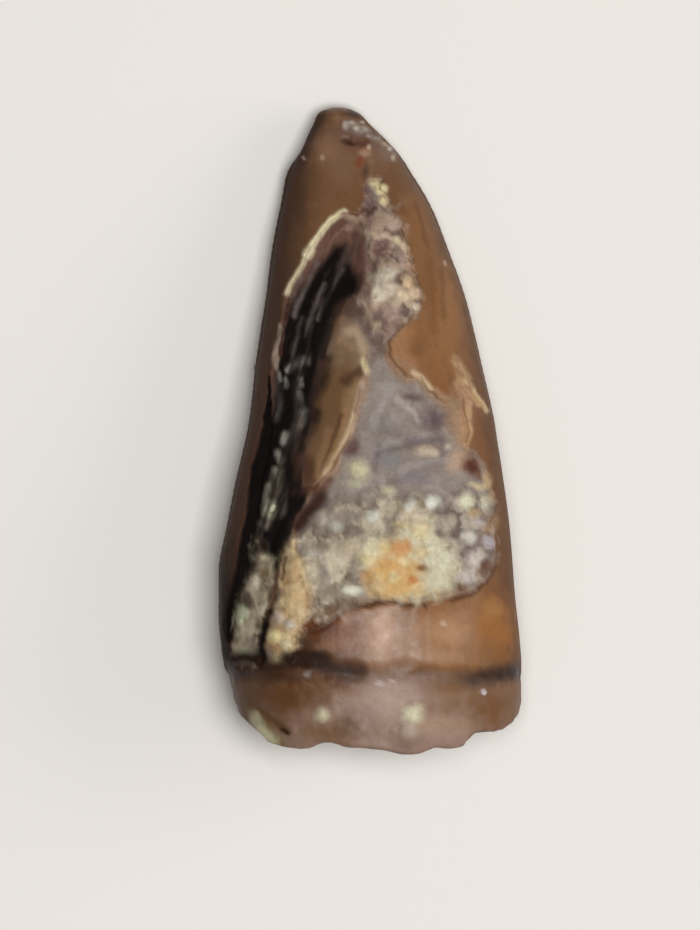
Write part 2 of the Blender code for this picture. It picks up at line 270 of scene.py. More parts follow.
broad = cloud(bare, *noise["broad"])
patchy = cloud(bare, *noise["patchy"])
mottle = cloud(bare, *noise["mottle"])
chunkAway, chunkGap, chunkNumber = pebbles(bare + noise["chunkShift"] * mottle[:, None], *noise["chunks"])
bitAway, _, bitNumber = pebbles(bare, *noise["bits"])
lengthwise = streaked(bare, "lengthwise")
leanCos, leanSin = noise["lean"]
leanAcross = bare[:, 0] * leanCos - bare[:, 1] * leanSin
leanUp = bare[:, 0] * leanSin + bare[:, 1] * leanCos
fibres = streaked(np.stack([leanAcross, leanUp, bare[:, 2]], axis=1), "fibres")
hairlines = streaked(bare, "hairlines")
wander = [wandered(seed) for seed in noise["wanderSeeds"]]
print("noise fields ready")


# What each point of the skin is: its place, how far it is lifted, and its colour and finish.
skin = {
    "across": bare[:, 0] + wander[0],
    "up": bare[:, 1] + wander[1],
    "facesUp": ease(normals[:, 2], -0.02, 0.2) * (ring >= 1.0),
    "facesDown": ease(-normals[:, 2], 0.0, 0.25) * (ring >= 1.0),
    "wall": (ring >= 1.0) * 1.0,
    "lift": np.zeros(len(bare)),
    "colour": np.zeros((len(bare), 3)),
    "rough": np.full(len(bare), 0.3),
    "grit": np.zeros(len(bare)),
    "sand": np.zeros(len(bare)),
}


# lay: moves the skin's colour and finish towards new ones, and lifts it, by a mask from 0 to 1
def lay(mask, colour=None, lift=None, **finish):
    if colour is not None:
        colour = tint(colour) if isinstance(colour, str) else colour
        skin["colour"] += (colour - skin["colour"]) * mask[:, None]
    if lift is not None:
        skin["lift"] += lift * mask
    for name, value in finish.items():
        skin[name] += (value - skin[name]) * mask


# patch: a mask from an outline in the plan, on the upper face, with an edge as wide as soft
def patch(outline, soft=0.12, mess=0.0):
    inside = depthInside(skin["across"], skin["up"], outline) + mess * mottle
    return ease(inside, -soft, soft) * skin["facesUp"]


# stroke: a mask along a route, full on its middle and gone at its half width
def stroke(route, half, soft=0.6, faces="facesUp"):
    away = awayFrom(skin["across"], skin["up"], route) / half
    return (1.0 - ease(away, 1.0 - soft, 1.0)) * skin[faces]


# dab: a mask over an oval spot, full in its middle and gone at its rim
def dab(across, up, reachAcross, reachUp, soft=0.6):
    away = np.hypot((skin["across"] - across) / reachAcross, (skin["up"] - up) / reachUp) + 0.2 * mottle
    return (1.0 - ease(away, 1.0 - soft, 1.0)) * skin["facesUp"]


# layFields: lays a list of noise or facing fields, each eased between two levels, times its share of
# the mask, in one of the piece's colours
def layFields(piece, fields, mask, **finish):
    for share, field, low, high, colour in fields:
        lay(share * mask * ease(field, low, high), piece[colour], **finish)


# layStains: lays a list of soft spots, each a colour, its strength, its place and its two reaches
def layStains(stains):
    for colour, strength, across, up, reachAcross, reachUp in stains:
        lay(strength * dab(across, up, reachAcross, reachUp, 1.0), colour)


# laySpots: lays a list of spots, each a colour, its place, its two reaches and its lift
def laySpots(spots, soft, share=1.0, **finish):
    for colour, across, up, reachAcross, reachUp, lift in spots:
        lay(share * dab(across, up, reachAcross, reachUp, soft), colour, lift, **finish)


# layLines: lays a list of lines, each a colour, its half width, its lift and its route
def layLines(lines, soft, share=1.0, widen=1.0, raised=1.0, **finish):
    for colour, half, lift, route in lines:
        lay(share * stroke(route, widen * half, soft), colour, raised * lift, **finish)


# Glossy brown enamel: darker towards the tip, with painted shade down the left and a little on the right,
# soft clouds, faint streaks and a painted highlight on the band.
enamel = {
    "low": "865e3d",
    "high": "6c4d36",
    "left": "3d291f",
    "dark": "5d3e28",
    "red": "7d4a2b",
    "rosy": "8e715c",
    "rough": 0.33,
    "tipShare": 0.9,
    "tipRange": (22.0, 32.0),
    "clouds": [
        (0.5, lengthwise, 0.0, 1.0, "dark"),
        (0.4, broad, 0.0, 0.9, "red"),
        (0.4, patchy, 0.1, 1.0, "rosy"),
        (0.3, hairlines, 0.1, 0.9, "dark"),
        (0.3, mottle, 0.2, 1.0, "rosy"),
    ],
    # painted shade: the left colour where the normal leans left, the dark colour where it leans right
    "leftFlankShade": [(0.92, 0.12 * patchy - normals[:, 0], 0.15, 0.75, "left")],
    "rightFlankShade": [(0.8, 0.12 * patchy + normals[:, 0], 0.5, 0.95, "dark")],
    "flankRough": (0.9, 0.7),
    "waves": (0.02, 0.03, 0.002),
    "streakShare": 0.4,
    "dabs": [
        ("6b3813", 0.95, -2.2, 6.9, 3.2, 2.1), ("3a2416", 0.9, -3.9, 6.3, 1.8, 1.2),
        # b5907a, first on the next line, is a painted highlight on the band; a88468 and ab8565 on the line
        # after are its tan with painted sheen
        ("b5907a", 0.85, 0.6, 6.9, 1.3, 2.0), ("6e4323", 0.6, 6.9, 8.9, 1.2, 1.2),
        ("a88468", 0.7, 3.8, 5.5, 2.0, 0.8), ("ab8565", 0.85, 4.1, 6.9, 2.5, 1.6),
        ("93602f", 0.95, 6.9, 7.0, 1.9, 2.6), ("33190a", 0.95, -3.0, 5.5, 3.2, 0.9),
        # 966c46, second on the next line, lightens the right of the upper crown: the tooth's brown with
        # painted light where that side is lit
        ("4a250c", 0.95, -2.8, 7.2, 1.3, 1.0), ("966c46", 0.7, 4.2, 24.6, 1.3, 4.5),
        ("8a623f", 0.6, 2.6, 29.2, 1.4, 3.5), ("6b4a32", 0.4, 2.5, 22.6, 0.8, 1.0),
        ("8a6a53", 0.7, -2.5, 33.6, 1.4, 1.6), ("9a6f4a", 0.6, 1.9, 23.4, 0.9, 1.2),
        ("7c5f4c", 0.6, -1.6, 32.6, 1.6, 1.8), ("7a6152", 0.6, 0.6, 33.4, 1.2, 1.4),
        # 140b08, first on the next line, is painted shade down the lower left edge
        ("140b08", 1.0, -8.5, 7.6, 2.2, 6.5), ("9a7152", 0.5, 5.9, 12.0, 1.0, 4.0),
        ("6a4a30", 0.5, 7.2, 16.0, 0.7, 5.0),
    ],
    "streaks": [
        ("5c3a24", 0.3, [(3.80, 26.8), (3.95, 24.3)]),
        ("6d4729", 0.4, [(3.2, 27.4), (3.45, 23.6)]),
        ("5a3524", 0.2, [(5.09, 24.9), (5.16, 24.4)]),
        ("e0cdb2", 0.16, [(4.02, 27.35), (4.08, 27.2)]),
        ("5f4029", 0.25, [(-3.2, 33.4), (-3.6, 30.6)]),
        ("5a3b26", 0.2, [(2.4, 30.6), (3.1, 28.2)]),
        ("4f3524", 0.8, [(-4.0, 32.0), (-4.5, 28.0)]),
    ],
}


# enamelCoat: the low colour blended to the high one by height, then the clouds, painted shade on both
# sides by how far the normal leans sideways, waves of lift, stains (some of them painted light) and streaks
def enamelCoat(e):
    everywhere = np.ones(len(bare))
    lay(everywhere, e["low"], rough=e["rough"])
    lay(e["tipShare"] * ease(skin["up"] + 1.5 * broad, *e["tipRange"]), e["high"])
    layFields(e, e["clouds"], everywhere)
    layFields(e, e["leftFlankShade"], everywhere, rough=e["flankRough"][0])
    layFields(e, e["rightFlankShade"], everywhere, rough=e["flankRough"][1])
    alongWave, broadWave, hairWave = e["waves"]
    lay(everywhere, lift=alongWave * lengthwise + broadWave * broad + hairWave * hairlines)
    layStains(e["dabs"])
    for colour, half, route in e["streaks"]:
        lay(e["streakShare"] * stroke(route, half, 1.0), colour)


# The dull root below the ring crack: mauve with a painted highlight in the middle, stained brown and painted
# shade to both sides, with pale chips.
root = {
    "top": 4.6,
    "mauve": "8d7568",
    "brown": "6f4b2c",
    "grey": "7c6a5f",
    "leftFlankShade": "4a3222",
    "rough": 0.46,
    "grit": 0.15,
    "flankRough": 0.55,
    "step": -0.12,
    "edge": 0.3,
    "waves": (0.03, 0.1),
    "clouds": [(0.55, patchy, 0.0, 0.8, "brown"), (0.5, -patchy, 0.1, 0.9, "grey")],
    # painted shade: darker where the normal leans left or right
    "flankShade": [(0.8, -normals[:, 0], 0.3, 0.85, "leftFlankShade"), (0.6, normals[:, 0], 0.6, 1.0, "brown")],
    "dabs": [
        ("6a4526", 0.95, -5.2, 3.4, 3.6, 2.4), ("6f4a2b", 0.9, -2.4, 4.2, 3.4, 1.2),
        ("6e4a2c", 0.95, 6.6, 2.8, 2.8, 2.8), ("795636", 0.8, 4.4, 3.9, 2.4, 1.2),
        # a48c80, first on the next line, is a painted highlight in the middle of the root
        ("a48c80", 0.8, 0.9, 3.2, 2.2, 1.8), ("6f4f33", 0.8, -2.6, 1.3, 2.8, 1.3),
        ("5a3819", 0.8, -4.0, 3.4, 3.0, 1.5), ("57392a", 0.85, -1.7, 4.3, 2.0, 0.8),
        ("3a200e", 0.85, -5.4, 4.4, 4.4, 0.8), ("644a38", 0.8, -1.3, 1.7, 1.3, 1.4),
        ("a88c78", 0.8, 3.7, 1.6, 2.6, 1.1), ("8f786a", 0.6, 4.0, 1.4, 1.6, 1.0),
    ],
    "chips": [
        ("c0bb9d", -2.78, 2.3, 0.6, 0.55, 0.12), ("c9c4a8", 2.3, 2.35, 0.95, 0.8, 0.24),
        ("a8978a", 2.1, 1.5, 0.7, 0.7, 0.1), ("b9aeb0", 6.17, 3.59, 0.3, 0.2, 0.1),
        # b9aba6 and b5a7a1, the last chips here, are small raised specks whose pale colour is painted glint
        ("938882", -3.6, 4.6, 0.34, 0.24, 0.1), ("b9aba6", 0.4, 4.05, 0.4, 0.24, 0.08),
        ("b5a7a1", 1.05, 4.2, 0.3, 0.2, 0.06),
    ],
}


# rootZone: all below a wavering level, a step down, with its clouds, stains, painted shade on both sides by
# how the normal leans, and chips
def rootZone(r):
    edge = skin["up"] - r["top"] + 0.1 * patchy
    below = (1.0 - ease(edge, -r["edge"], r["edge"])) * skin["wall"]
    lay(below, r["mauve"], lift=r["step"], rough=r["rough"], grit=r["grit"])
    layFields(r, r["clouds"], below)
    layStains(r["dabs"])
    layFields(r, r["flankShade"], below, rough=r["flankRough"])
    fineWave, wideWave = r["waves"]
    lay(below, lift=fineWave * mottle + wideWave * patchy)
    laySpots(r["chips"], 0.9, rough=0.6, grit=0.6)


# The flaked field: dull purple-grey dentine a step below the enamel, tan where it meets it.
dentine = {
    "outline": [
        (-0.9, 30.1), (-0.3, 30.4), (-0.3, 31.4), (-0.1, 32.1), (0.4, 32.0), (0.9, 30.9), (1.3, 30.0),
        (1.8, 28.6), (2.2, 27.4), (2.5, 26.1), (2.7, 25.0), (2.3, 24.3), (1.5, 23.6), (1.0, 23.0),
        (1.0, 22.2), (1.4, 21.5), (1.9, 21.0), (2.7, 21.0), (3.1, 20.3), (3.6, 19.8), (4.1, 19.6),
        (4.9, 20.0), (5.3, 18.6), (5.3, 17.1), (5.9, 16.8), (6.4, 16.0), (6.6, 14.9), (6.9, 14.1),
        (6.5, 13.0), (6.7, 11.9), (6.8, 11.2), (6.5, 10.2), (5.9, 9.4), (4.9, 9.0), (3.8, 8.7),
        (2.7, 8.5), (1.3, 8.7), (-0.1, 8.5), (-1.7, 8.3), (-2.3, 8.0), (-3.1, 7.9), (-3.6, 7.5),
        (-4.1, 7.1), (-4.2, 6.2), (-4.7, 5.6), (-5.1, 5.2), (-6.2, 5.0), (-5.6, 9.0), (-4.4, 12.5),
        (-3.3, 15.0), (-2.0, 16.0), (-1.0, 18.8), (-0.4, 21.6), (-1.4, 23.6), (-1.6, 26.0),
        (-1.2, 28.6),
    ],
    "base": "8a7f78",
    "dark": "70605d",
    "pale": "9d9691",
    "tan": "93755c",
    "step": -0.34,
    "rough": 0.48,
    "grit": 0.5,
    "clouds": [(0.8, patchy, -0.1, 0.8, "dark"), (0.7, mottle, 0.0, 0.9, "pale")],
    "tanShare": 0.8,
    "tanReach": 0.5,
    "waves": 0.05,
    "crackShare": 0.5,
    "crackSpread": 1.8,
    "spotShare": 0.85,
    "tanZone": [(3.8, 19.8), (4.3, 20.2), (5.5, 20.1), (5.4, 18.6), (5.25, 17.0), (4.7, 17.4), (4.1, 18.3)],
    "cracks": [
        ("4e4247", 0.22, -0.16, [(0.34, 16.9), (1.3, 17.1), (2.4, 17.4), (3.8, 17.6)]),
        ("5a4d50", 0.16, -0.1, [(0.4, 17.3), (0.1, 15.9)]),
        ("8e8886", 0.2, 0.05, [(-0.67, 17.3), (0.45, 17.1), (1.4, 17.6)]),
        ("aaa3a4", 0.22, 0.06, [(0.0, 18.3), (0.34, 19.2), (0.8, 20.1)]),
        ("9f9896", 0.2, 0.04, [(1.6, 15.8), (2.7, 16.2), (4.1, 16.4)]),
        ("b7afaa", 0.16, 0.05, [(1.3, 19.8), (2.2, 19.2), (2.6, 18.6)]),
    ],
    "spots": [
        ("57444a", 3.4, 18.6, 1.2, 1.1, -0.06), ("63504f", 2.2, 19.8, 1.1, 0.6, -0.04),
        ("9d938f", 1.2, 18.6, 0.8, 0.7, 0.04), ("b9aca2", -0.6, 20.6, 0.3, 0.5, 0.05),
        ("5c4146", -1.3, 17.0, 0.5, 0.6, -0.1), ("9b948f", 0.8, 20.4, 0.9, 0.6, 0.0),
        ("6e4a2c", 5.9, 15.5, 0.4, 0.4, -0.12), ("a58a6c", 4.9, 16.6, 0.7, 0.4, 0.03),
        ("b09a7c", 6.3, 15.4, 0.3, 0.7, 0.05), ("c0b394", 5.5, 14.98, 0.5, 0.2, 0.1),
        ("7b7478", 2.4, 15.4, 1.6, 0.7, 0.0), ("968d86", -0.3, 14.4, 1.0, 0.6, 0.0),
        ("6c5753", -0.8, 25.0, 1.5, 1.2, 0.0), ("5d4641", 0.2, 23.8, 1.5, 1.7, -0.05),
        ("655044", 0.4, 22.5, 1.1, 1.0, 0.0), ("6a5e5e", 2.2, 17.55, 1.6, 0.45, -0.04),
        ("a69c8b", -0.9, 16.0, 1.1, 0.8, 0.05), ("5f463f", -1.1, 17.3, 0.7, 0.8, -0.06),
        ("a58f80", 2.9, 17.0, 0.9, 0.6, 0.05), ("b59a84", 4.7, 16.3, 1.0, 1.0, 0.03),
        ("a9896c", 5.0, 18.2, 0.7, 1.8, 0.0), ("7d7a7d", 0.9, 16.4, 1.3, 0.8, 0.0),
        ("756f6b", 0.7, 18.2, 1.4, 1.1, 0.0), ("6b3a1c", 5.5, 16.1, 0.9, 1.0, 0.0),
        ("4a2210", 5.6, 16.0, 0.6, 0.7, -0.3),
    ],
}


# dentineField: inside its outline, a step down, tan within tanReach of its edge, then cracks and spots
def dentineField(d):
    inside = depthInside(skin["across"], skin["up"], d["outline"])
    ragged = inside + 0.35 * mottle * ease(skin["up"], 22.0, 24.0)
    mask = ease(ragged, -0.08, 0.08) * skin["facesUp"]
    lay(mask, d["base"], d["step"], rough=d["rough"], grit=d["grit"])
    layFields(d, d["clouds"], mask)
    lay(d["tanShare"] * mask * (1.0 - ease(inside + 0.25 * patchy, 0.0, d["tanReach"])), d["tan"])
    lay(mask, lift=d["waves"] * mottle + d["waves"] * patchy)
    lay(d["tanShare"] * patch(d["tanZone"], 0.4, 0.3), d["tan"], rough=0.4)
    layLines(d["cracks"], 1.0, d["crackShare"], widen=d["crackSpread"])
    laySpots(d["spots"], 1.0, d["spotShare"])


# The deep trough beside the field: mauve banks, a black floor, and grey glassy mineral standing in it.
trough = {
    "outline": [
        (-1.7, 30.1), (-0.5, 29.9), (-0.2, 27.4), (-0.3, 25.9), (-1.4, 25.2), (-2.1, 24.2),
        (-2.55, 22.5), (-2.75, 20.7), (-3.0, 19.4), (-3.3, 17.8), (-3.5, 16.0), (-3.3, 14.7),
        (-4.2, 13.2), (-4.7, 11.6), (-5.3, 9.6), (-5.9, 6.4), (-6.0, 4.9), (-7.6, 4.9), (-8.0, 6.6),
        (-8.05, 7.8), (-7.85, 9.1), (-7.5, 10.7), (-7.0, 13.4), (-6.75, 15.3), (-6.35, 17.0),
        (-6.1, 18.3), (-5.85, 19.6), (-5.6, 21.2), (-5.35, 22.6), (-5.05, 24.2), (-4.75, 25.6),
        (-4.2, 26.6), (-3.6, 27.8), (-3.0, 28.9), (-2.4, 29.6),
    ],
    "core": [
        (-1.5, 28.3), (-2.0, 28.3), (-2.7, 27.6), (-3.4, 26.7), (-4.15, 25.6), (-4.7, 24.6), (-5.1, 23.5),
        (-5.4, 21.8), (-5.6, 20.2), (-6.0, 18.0), (-6.5, 15.6), (-6.9, 13.4), (-7.3, 11.0), (-7.8, 8.0),
        (-7.6, 5.6), (-6.3, 5.4), (-5.6, 8.6), (-4.9, 11.6), (-4.2, 12.8), (-3.5, 14.2), (-3.7, 16.0),
        (-3.45, 18.2), (-3.1, 20.2), (-2.85, 21.8), (-2.6, 23.0), (-2.2, 24.2), (-1.3, 25.0),
        (-0.75, 25.9), (-0.75, 26.7), (-1.2, 27.4),
    ],
    "black": "0b0403",
    "mauve": "6a4d43",
    "palerMauve": "7d655c",
    "dimFibre": "4c3a38",
    "grooveBlack": "0a0403",
    "clouds": [(0.5, fibres, 0.0, 0.9, "palerMauve")],
    "dimShare": 0.6,
    "fibreRise": 0.07,
    "bankRough": 0.45,
    "darkRough": 0.95,
    "glassRough": 0.5,
    "depth": -0.85,
    "bank": 0.9,
    "streakSpread": 1.4,
    "streakRise": 0.3,
    "glass": [
        ("3f3835", 0.4, 0.25, [(-5.3, 21.0), (-5.2, 19.8), (-5.35, 18.7)]),
        ("4a403c", 0.4, 0.3, [(-4.0, 21.6), (-4.2, 20.4), (-4.1, 19.2)]),
        ("7f7a70", 0.5, 0.35, [(-3.85, 19.1), (-4.2, 18.4)]),
        ("53453b", 0.5, 0.2, [(-4.15, 18.6), (-4.2, 17.7), (-4.4, 17.0)]),
        ("5c5049", 0.35, 0.3, [(-4.5, 18.0), (-4.8, 16.8), (-5.2, 15.8)]),
        ("75695f", 0.5, 0.4, [(-5.35, 15.6), (-5.6, 14.0), (-5.9, 12.8)]),
        ("65584e", 0.5, 0.25, [(-5.1, 15.7), (-5.0, 14.6), (-5.0, 13.5)]),
        ("5f544c", 0.5, 0.2, [(-3.8, 22.0), (-4.4, 21.5)]),
        ("665c52", 0.32, 0.4, [(-6.2, 12.9), (-6.35, 11.8), (-6.4, 10.9)]),
        ("35241d", 0.6, 0.3, [(-4.4, 16.6), (-4.2, 15.4)]),
        ("40261d", 0.5, 0.2, [(-3.6, 15.3), (-4.2, 14.6)]),
    ],
    "streaks": [
        ("5f5653", 0.2, 0.05, [(-3.1, 27.3), (-3.7, 25.9), (-4.3, 24.4)]),
        ("574c49", 0.2, 0.06, [(-3.9, 26.7), (-4.5, 25.4)]),
        ("6a6260", 0.13, 0.06, [(-1.6, 26.9), (-2.3, 25.7), (-3.0, 24.2)]),
        ("463833", 0.3, 0.05, [(-1.2, 28.0), (-1.8, 26.9), (-2.2, 26.0)]),
        ("5b5350", 0.17, 0.05, [(-2.6, 26.2), (-3.2, 24.8), (-3.6, 23.4)]),
        ("4d4643", 0.17, 0.05, [(-3.9, 24.3), (-4.2, 22.9), (-4.3, 22.0)]),
        ("463c39", 0.2, 0.06, [(-3.5, 23.8), (-3.6, 21.8)]),
        ("b0aaa2", 0.24, 0.16, [(-3.75, 22.0), (-4.1, 21.8)]),
        ("a5a09a", 0.22, 0.14, [(-4.2, 21.7), (-4.6, 21.4)]),
        ("a8a39a", 0.17, 0.14, [(-4.75, 20.9), (-4.8, 20.5)]),
        ("b5afa5", 0.15, 0.14, [(-5.2, 21.3), (-5.15, 20.9)]),
        ("8d8783", 0.16, 0.1, [(-3.95, 20.9), (-3.9, 20.5)]),
        ("7e7874", 0.2, 0.1, [(-4.0, 20.1), (-3.75, 19.2)]),
        ("a9a69c", 0.26, 0.2, [(-4.83, 17.75), (-4.88, 17.35)]),
        ("a5a096", 0.28, 0.2, [(-5.2, 16.75), (-5.05, 16.4)]),
        ("958f86", 0.18, 0.12, [(-5.4, 15.9), (-5.35, 15.4)]),
        ("8e897e", 0.2, 0.12, [(-5.75, 15.0), (-5.95, 13.4)]),
        ("b2b59a", 0.34, 0.2, [(-5.55, 13.85), (-5.6, 13.55)]),
    ],
    "groove": [
        (-5.7, 21.0), (-5.8, 19.4), (-5.85, 18.2), (-6.0, 17.0), (-6.4, 15.3), (-6.65, 13.4),
        (-7.15, 10.7), (-7.5, 9.1), (-7.8, 7.8), (-7.9, 6.4),
    ],
    "grooveHalf": 0.48,
    "grooveDepth": -0.4,
}


# troughFloor: the enamel's step at the trough's edge, then its bank down to the full depth
def troughFloor(t, inside):
    return dentine["step"] + t["depth"] * ease(inside, 0.0, t["bank"])


# deepTrough: its lift is set, not added, from the distance inside its outline; then a black core, dim
# fibres, mineral strokes, and a groove whose width tapers with height
def deepTrough(t):
    inside = depthInside(skin["across"], skin["up"], t["outline"])
    mask = ease(inside, -0.08, 0.08) * skin["facesUp"]
    core = ease(depthInside(skin["across"], skin["up"], t["core"]) + 0.25 * fibres, -0.45, 0.35) * mask
    ragged = 0.1 + 0.9 * ease(fibres + 0.3 * mottle, -0.5, 0.6)
    lay(mask, t["mauve"], rough=t["bankRough"], grit=0.2)
    layFields(t, t["clouds"], mask)
    lay(core, t["black"], rough=t["darkRough"], grit=0.05)
    dim = ease(fibres + 0.4 * mottle, 0.15, 0.8) * ease(skin["up"], 21.0, 25.0)
    lay(t["dimShare"] * core * dim, t["dimFibre"])
    floor = troughFloor(t, inside) + t["fibreRise"] * fibres * ease(inside, 0.1, 0.6)
    skin["lift"] += (floor - skin["lift"]) * mask
    layLines(t["glass"], 1.0, ragged, rough=t["glassRough"])
    spread, rise = t["streakSpread"], t["streakRise"]
    layLines(t["streaks"], 1.0, ragged, widen=spread, raised=rise, rough=t["glassRough"])
    taper = np.maximum(ease(21.5 - skin["up"], 0.0, 5.0) * ease(skin["up"], 5.0, 8.0), 0.15)
    groove = awayFrom(skin["across"], skin["up"], t["groove"]) / (t["grooveHalf"] * taper)
    dark = (1.0 - ease(groove, 0.5, 1.0)) * skin["facesUp"]
    lay(dark, t["grooveBlack"], t["grooveDepth"], rough=t["darkRough"])


# The tongue of enamel left standing between trough and field: it rolls over from a pale broken edge on
# its right to the dark on its left.
tongue = {
    "outline": [
        (-1.4, 24.6), (-1.0, 24.2), (-0.5, 23.3), (-0.3, 22.0), (-0.75, 20.9), (-0.9, 19.7),
        (-1.1, 18.5), (-1.6, 17.5), (-2.1, 16.6), (-2.6, 15.6), (-3.2, 14.8), (-3.9, 15.0),
        (-3.9, 16.8), (-3.6, 18.1), (-3.35, 19.6), (-3.0, 20.9), (-2.6, 22.2), (-2.2, 23.3),
        (-1.9, 24.2),
    ],
    "rightEdge": [
        (-0.9, 24.4), (-0.4, 23.2), (-0.25, 22.0), (-0.7, 20.9), (-0.85, 19.7), (-1.05, 18.5),
        (-1.55, 17.5), (-2.05, 16.6), (-2.55, 15.6), (-3.1, 14.8),
    ],
    "tan": "8c7052",
    "brown": "6f5136",
    "dark": "1d110c",
    "dull": "7f6a59",
    "roll": 0.7,
    "rough": 0.4,
    "lineRough": 0.5,
    "lineShare": 0.85,
    "lines": [
        ("97806a", 0.2, 0.04, [(-0.34, 21.3), (-0.75, 20.6), (-0.95, 19.7), (-1.05, 18.9)]),
        ("bda587", 0.26, 0.05, [(-1.05, 18.9), (-1.25, 18.1), (-1.7, 17.4), (-2.1, 16.6), (-2.55, 15.7)]),
        ("8c6c4a", 0.4, 0.02, [(-1.5, 19.0), (-2.0, 17.5), (-2.6, 16.1)]),
        ("573d29", 0.22, -0.03, [(-1.8, 18.8), (-2.3, 17.2), (-2.9, 15.8)]),
        ("85664a", 0.36, 0.03, [(-2.5, 18.0), (-2.8, 16.8), (-3.05, 15.6)]),
        ("80684f", 0.6, 0.0, [(-1.8, 22.7), (-1.85, 21.9)]),
        ("140a07", 0.75, -0.1, [(-2.0, 24.9), (-2.3, 24.1), (-2.55, 23.2), (-2.75, 22.3)]),
        # 452e1f on the next line is painted shadow under the tongue's upper curl, over a slight dip
        ("452e1f", 0.55, -0.06, [(-0.8, 21.3), (-1.2, 21.0), (-1.5, 20.7)]),
        ("a8937a", 0.5, 0.04, [(-1.4, 23.4), (-0.95, 23.5), (-0.65, 23.1), (-0.5, 22.4)]),
        ("3f2b22", 0.6, 0.0, [(-1.8, 24.7), (-1.1, 25.2)]),
        ("503b30", 0.8, 0.0, [(-1.2, 24.6), (-0.7, 24.6), (-0.2, 24.3)]),
        ("94795e", 0.4, 0.02, [(-1.7, 23.0), (-1.2, 22.6)]),
        ("c6b793", 0.34, 0.14, [(-0.55, 21.9), (-0.3, 21.4)]),
        ("4a2e20", 0.8, 0.0, [(-3.8, 16.4), (-3.5, 15.4), (-3.2, 14.7)]),
        ("5f4030", 0.5, 0.0, [(-3.3, 14.9), (-2.7, 14.8), (-2.4, 15.3)]),
    ],
}


# enamelTongue: with distance from its right edge the lift rolls down and the colour
# goes from tan to dark
def enamelTongue(t):
    inside = depthInside(skin["across"], skin["up"], t["outline"])
    fromEdge = awayFrom(skin["across"], skin["up"], t["rightEdge"])
    loose = 0.35 * ease(skin["up"], 21.5, 23.5) + 0.3 * ease(fromEdge, 1.0, 2.0)
    mask = ease(inside + 0.2 * patchy * loose, -0.1 - loose, 0.12 + loose) * skin["facesUp"]
    roll = ease(fromEdge, 0.5, 2.4)
    skin["lift"] += (0.05 * patchy - t["roll"] * roll - skin["lift"]) * mask
    layers = [
        (0.9 * ease(fromEdge + 0.3 * mottle, 0.1, 1.1), t["brown"]),
        (0.85 * ease(skin["up"], 20.8, 22.8), t["dull"]),
        (ease(fromEdge + 0.35 * patchy + 0.2 * fibres, 1.35, 2.3), t["dark"]),
    ]
    shade = np.zeros((len(bare), 3)) + tint(t["tan"])
    for share, code in layers:
        shade += (tint(code) - shade) * share[:, None]
    lay(mask, shade, rough=t["rough"], grit=0.15)
    layLines(t["lines"], 0.9, t["lineShare"], rough=t["lineRough"])


# Pale broken edges of the enamel, and the slivers left at the field's right side.
edges = {
    "rough": 0.5,
    "grit": 0.4,
    "lines": [
        ("ddd2ae", 0.3, 0.1, [(-1.6, 30.15), (-2.25, 29.75), (-2.85, 29.1), (-3.3, 28.4), (-3.6, 27.9)]),
        ("d9cfae", 0.42, 0.12, [(-3.4, 28.05), (-3.6, 27.75)]),
        ("c9bc9c", 0.27, 0.1, [(-3.8, 27.4), (-4.2, 26.7), (-4.5, 26.1), (-4.75, 25.6)]),
        ("86776a", 0.3, 0.03, [(-5.05, 23.8), (-5.25, 22.6), (-5.4, 21.6)]),
        ("a48c7a", 0.3, 0.04, [(-1.6, 30.0), (-0.9, 29.6), (-0.3, 29.8)]),
        ("8d7367", 0.3, 0.04, [(-1.3, 29.3), (-0.6, 29.2)]),
        ("3a1c14", 0.2, -0.05, [(-4.6, 25.2), (-4.9, 23.9), (-5.1, 22.2)]),
        ("976f4f", 0.8, 0.0, [(1.5, 23.2), (1.4, 22.2), (2.2, 21.6)]),
        ("957559", 0.36, 0.0, [(1.4, 21.9), (2.5, 21.2), (3.2, 20.5), (4.1, 19.7)]),
        ("c1a88a", 0.26, 0.04, [(2.3, 21.2), (2.8, 20.9), (3.2, 20.4)]),
        ("b39470", 0.45, 0.04, [(4.6, 21.9), (4.9, 21.3), (5.2, 20.8)]),
        ("c4aa84", 0.2, 0.05, [(5.2, 20.9), (5.6, 20.3), (5.85, 19.8), (6.35, 19.1)]),
        ("b08f6a", 0.24, 0.02, [(4.9, 20.9), (5.3, 20.2), (5.9, 19.4)]),
        ("a98467", 0.36, 0.03, [(4.7, 20.6), (5.25, 19.5), (5.25, 18.3), (5.2, 17.4)]),
        ("b3926f", 0.2, 0.03, [(5.35, 19.6), (5.38, 18.2), (5.3, 17.2)]),
        ("4c2f1f", 0.2, -0.06, [(-3.6, 6.9), (-2.3, 7.5), (-1.6, 8.1), (-0.2, 8.4), (1.4, 8.5), (3.0, 8.35)]),
        ("5b3c28", 0.22, -0.05, [(4.4, 8.7), (5.4, 9.0), (6.3, 9.6), (6.9, 10.6)]),
    ],
}


# brokenEdges: strokes along the edges, worn away by noise
def brokenEdges(e):
    worn = 0.95 - 0.55 * ease(mottle + 0.5 * patchy, 0.1, 0.7)
    layLines(e["lines"], 0.85, worn, rough=e["rough"], grit=e["grit"])


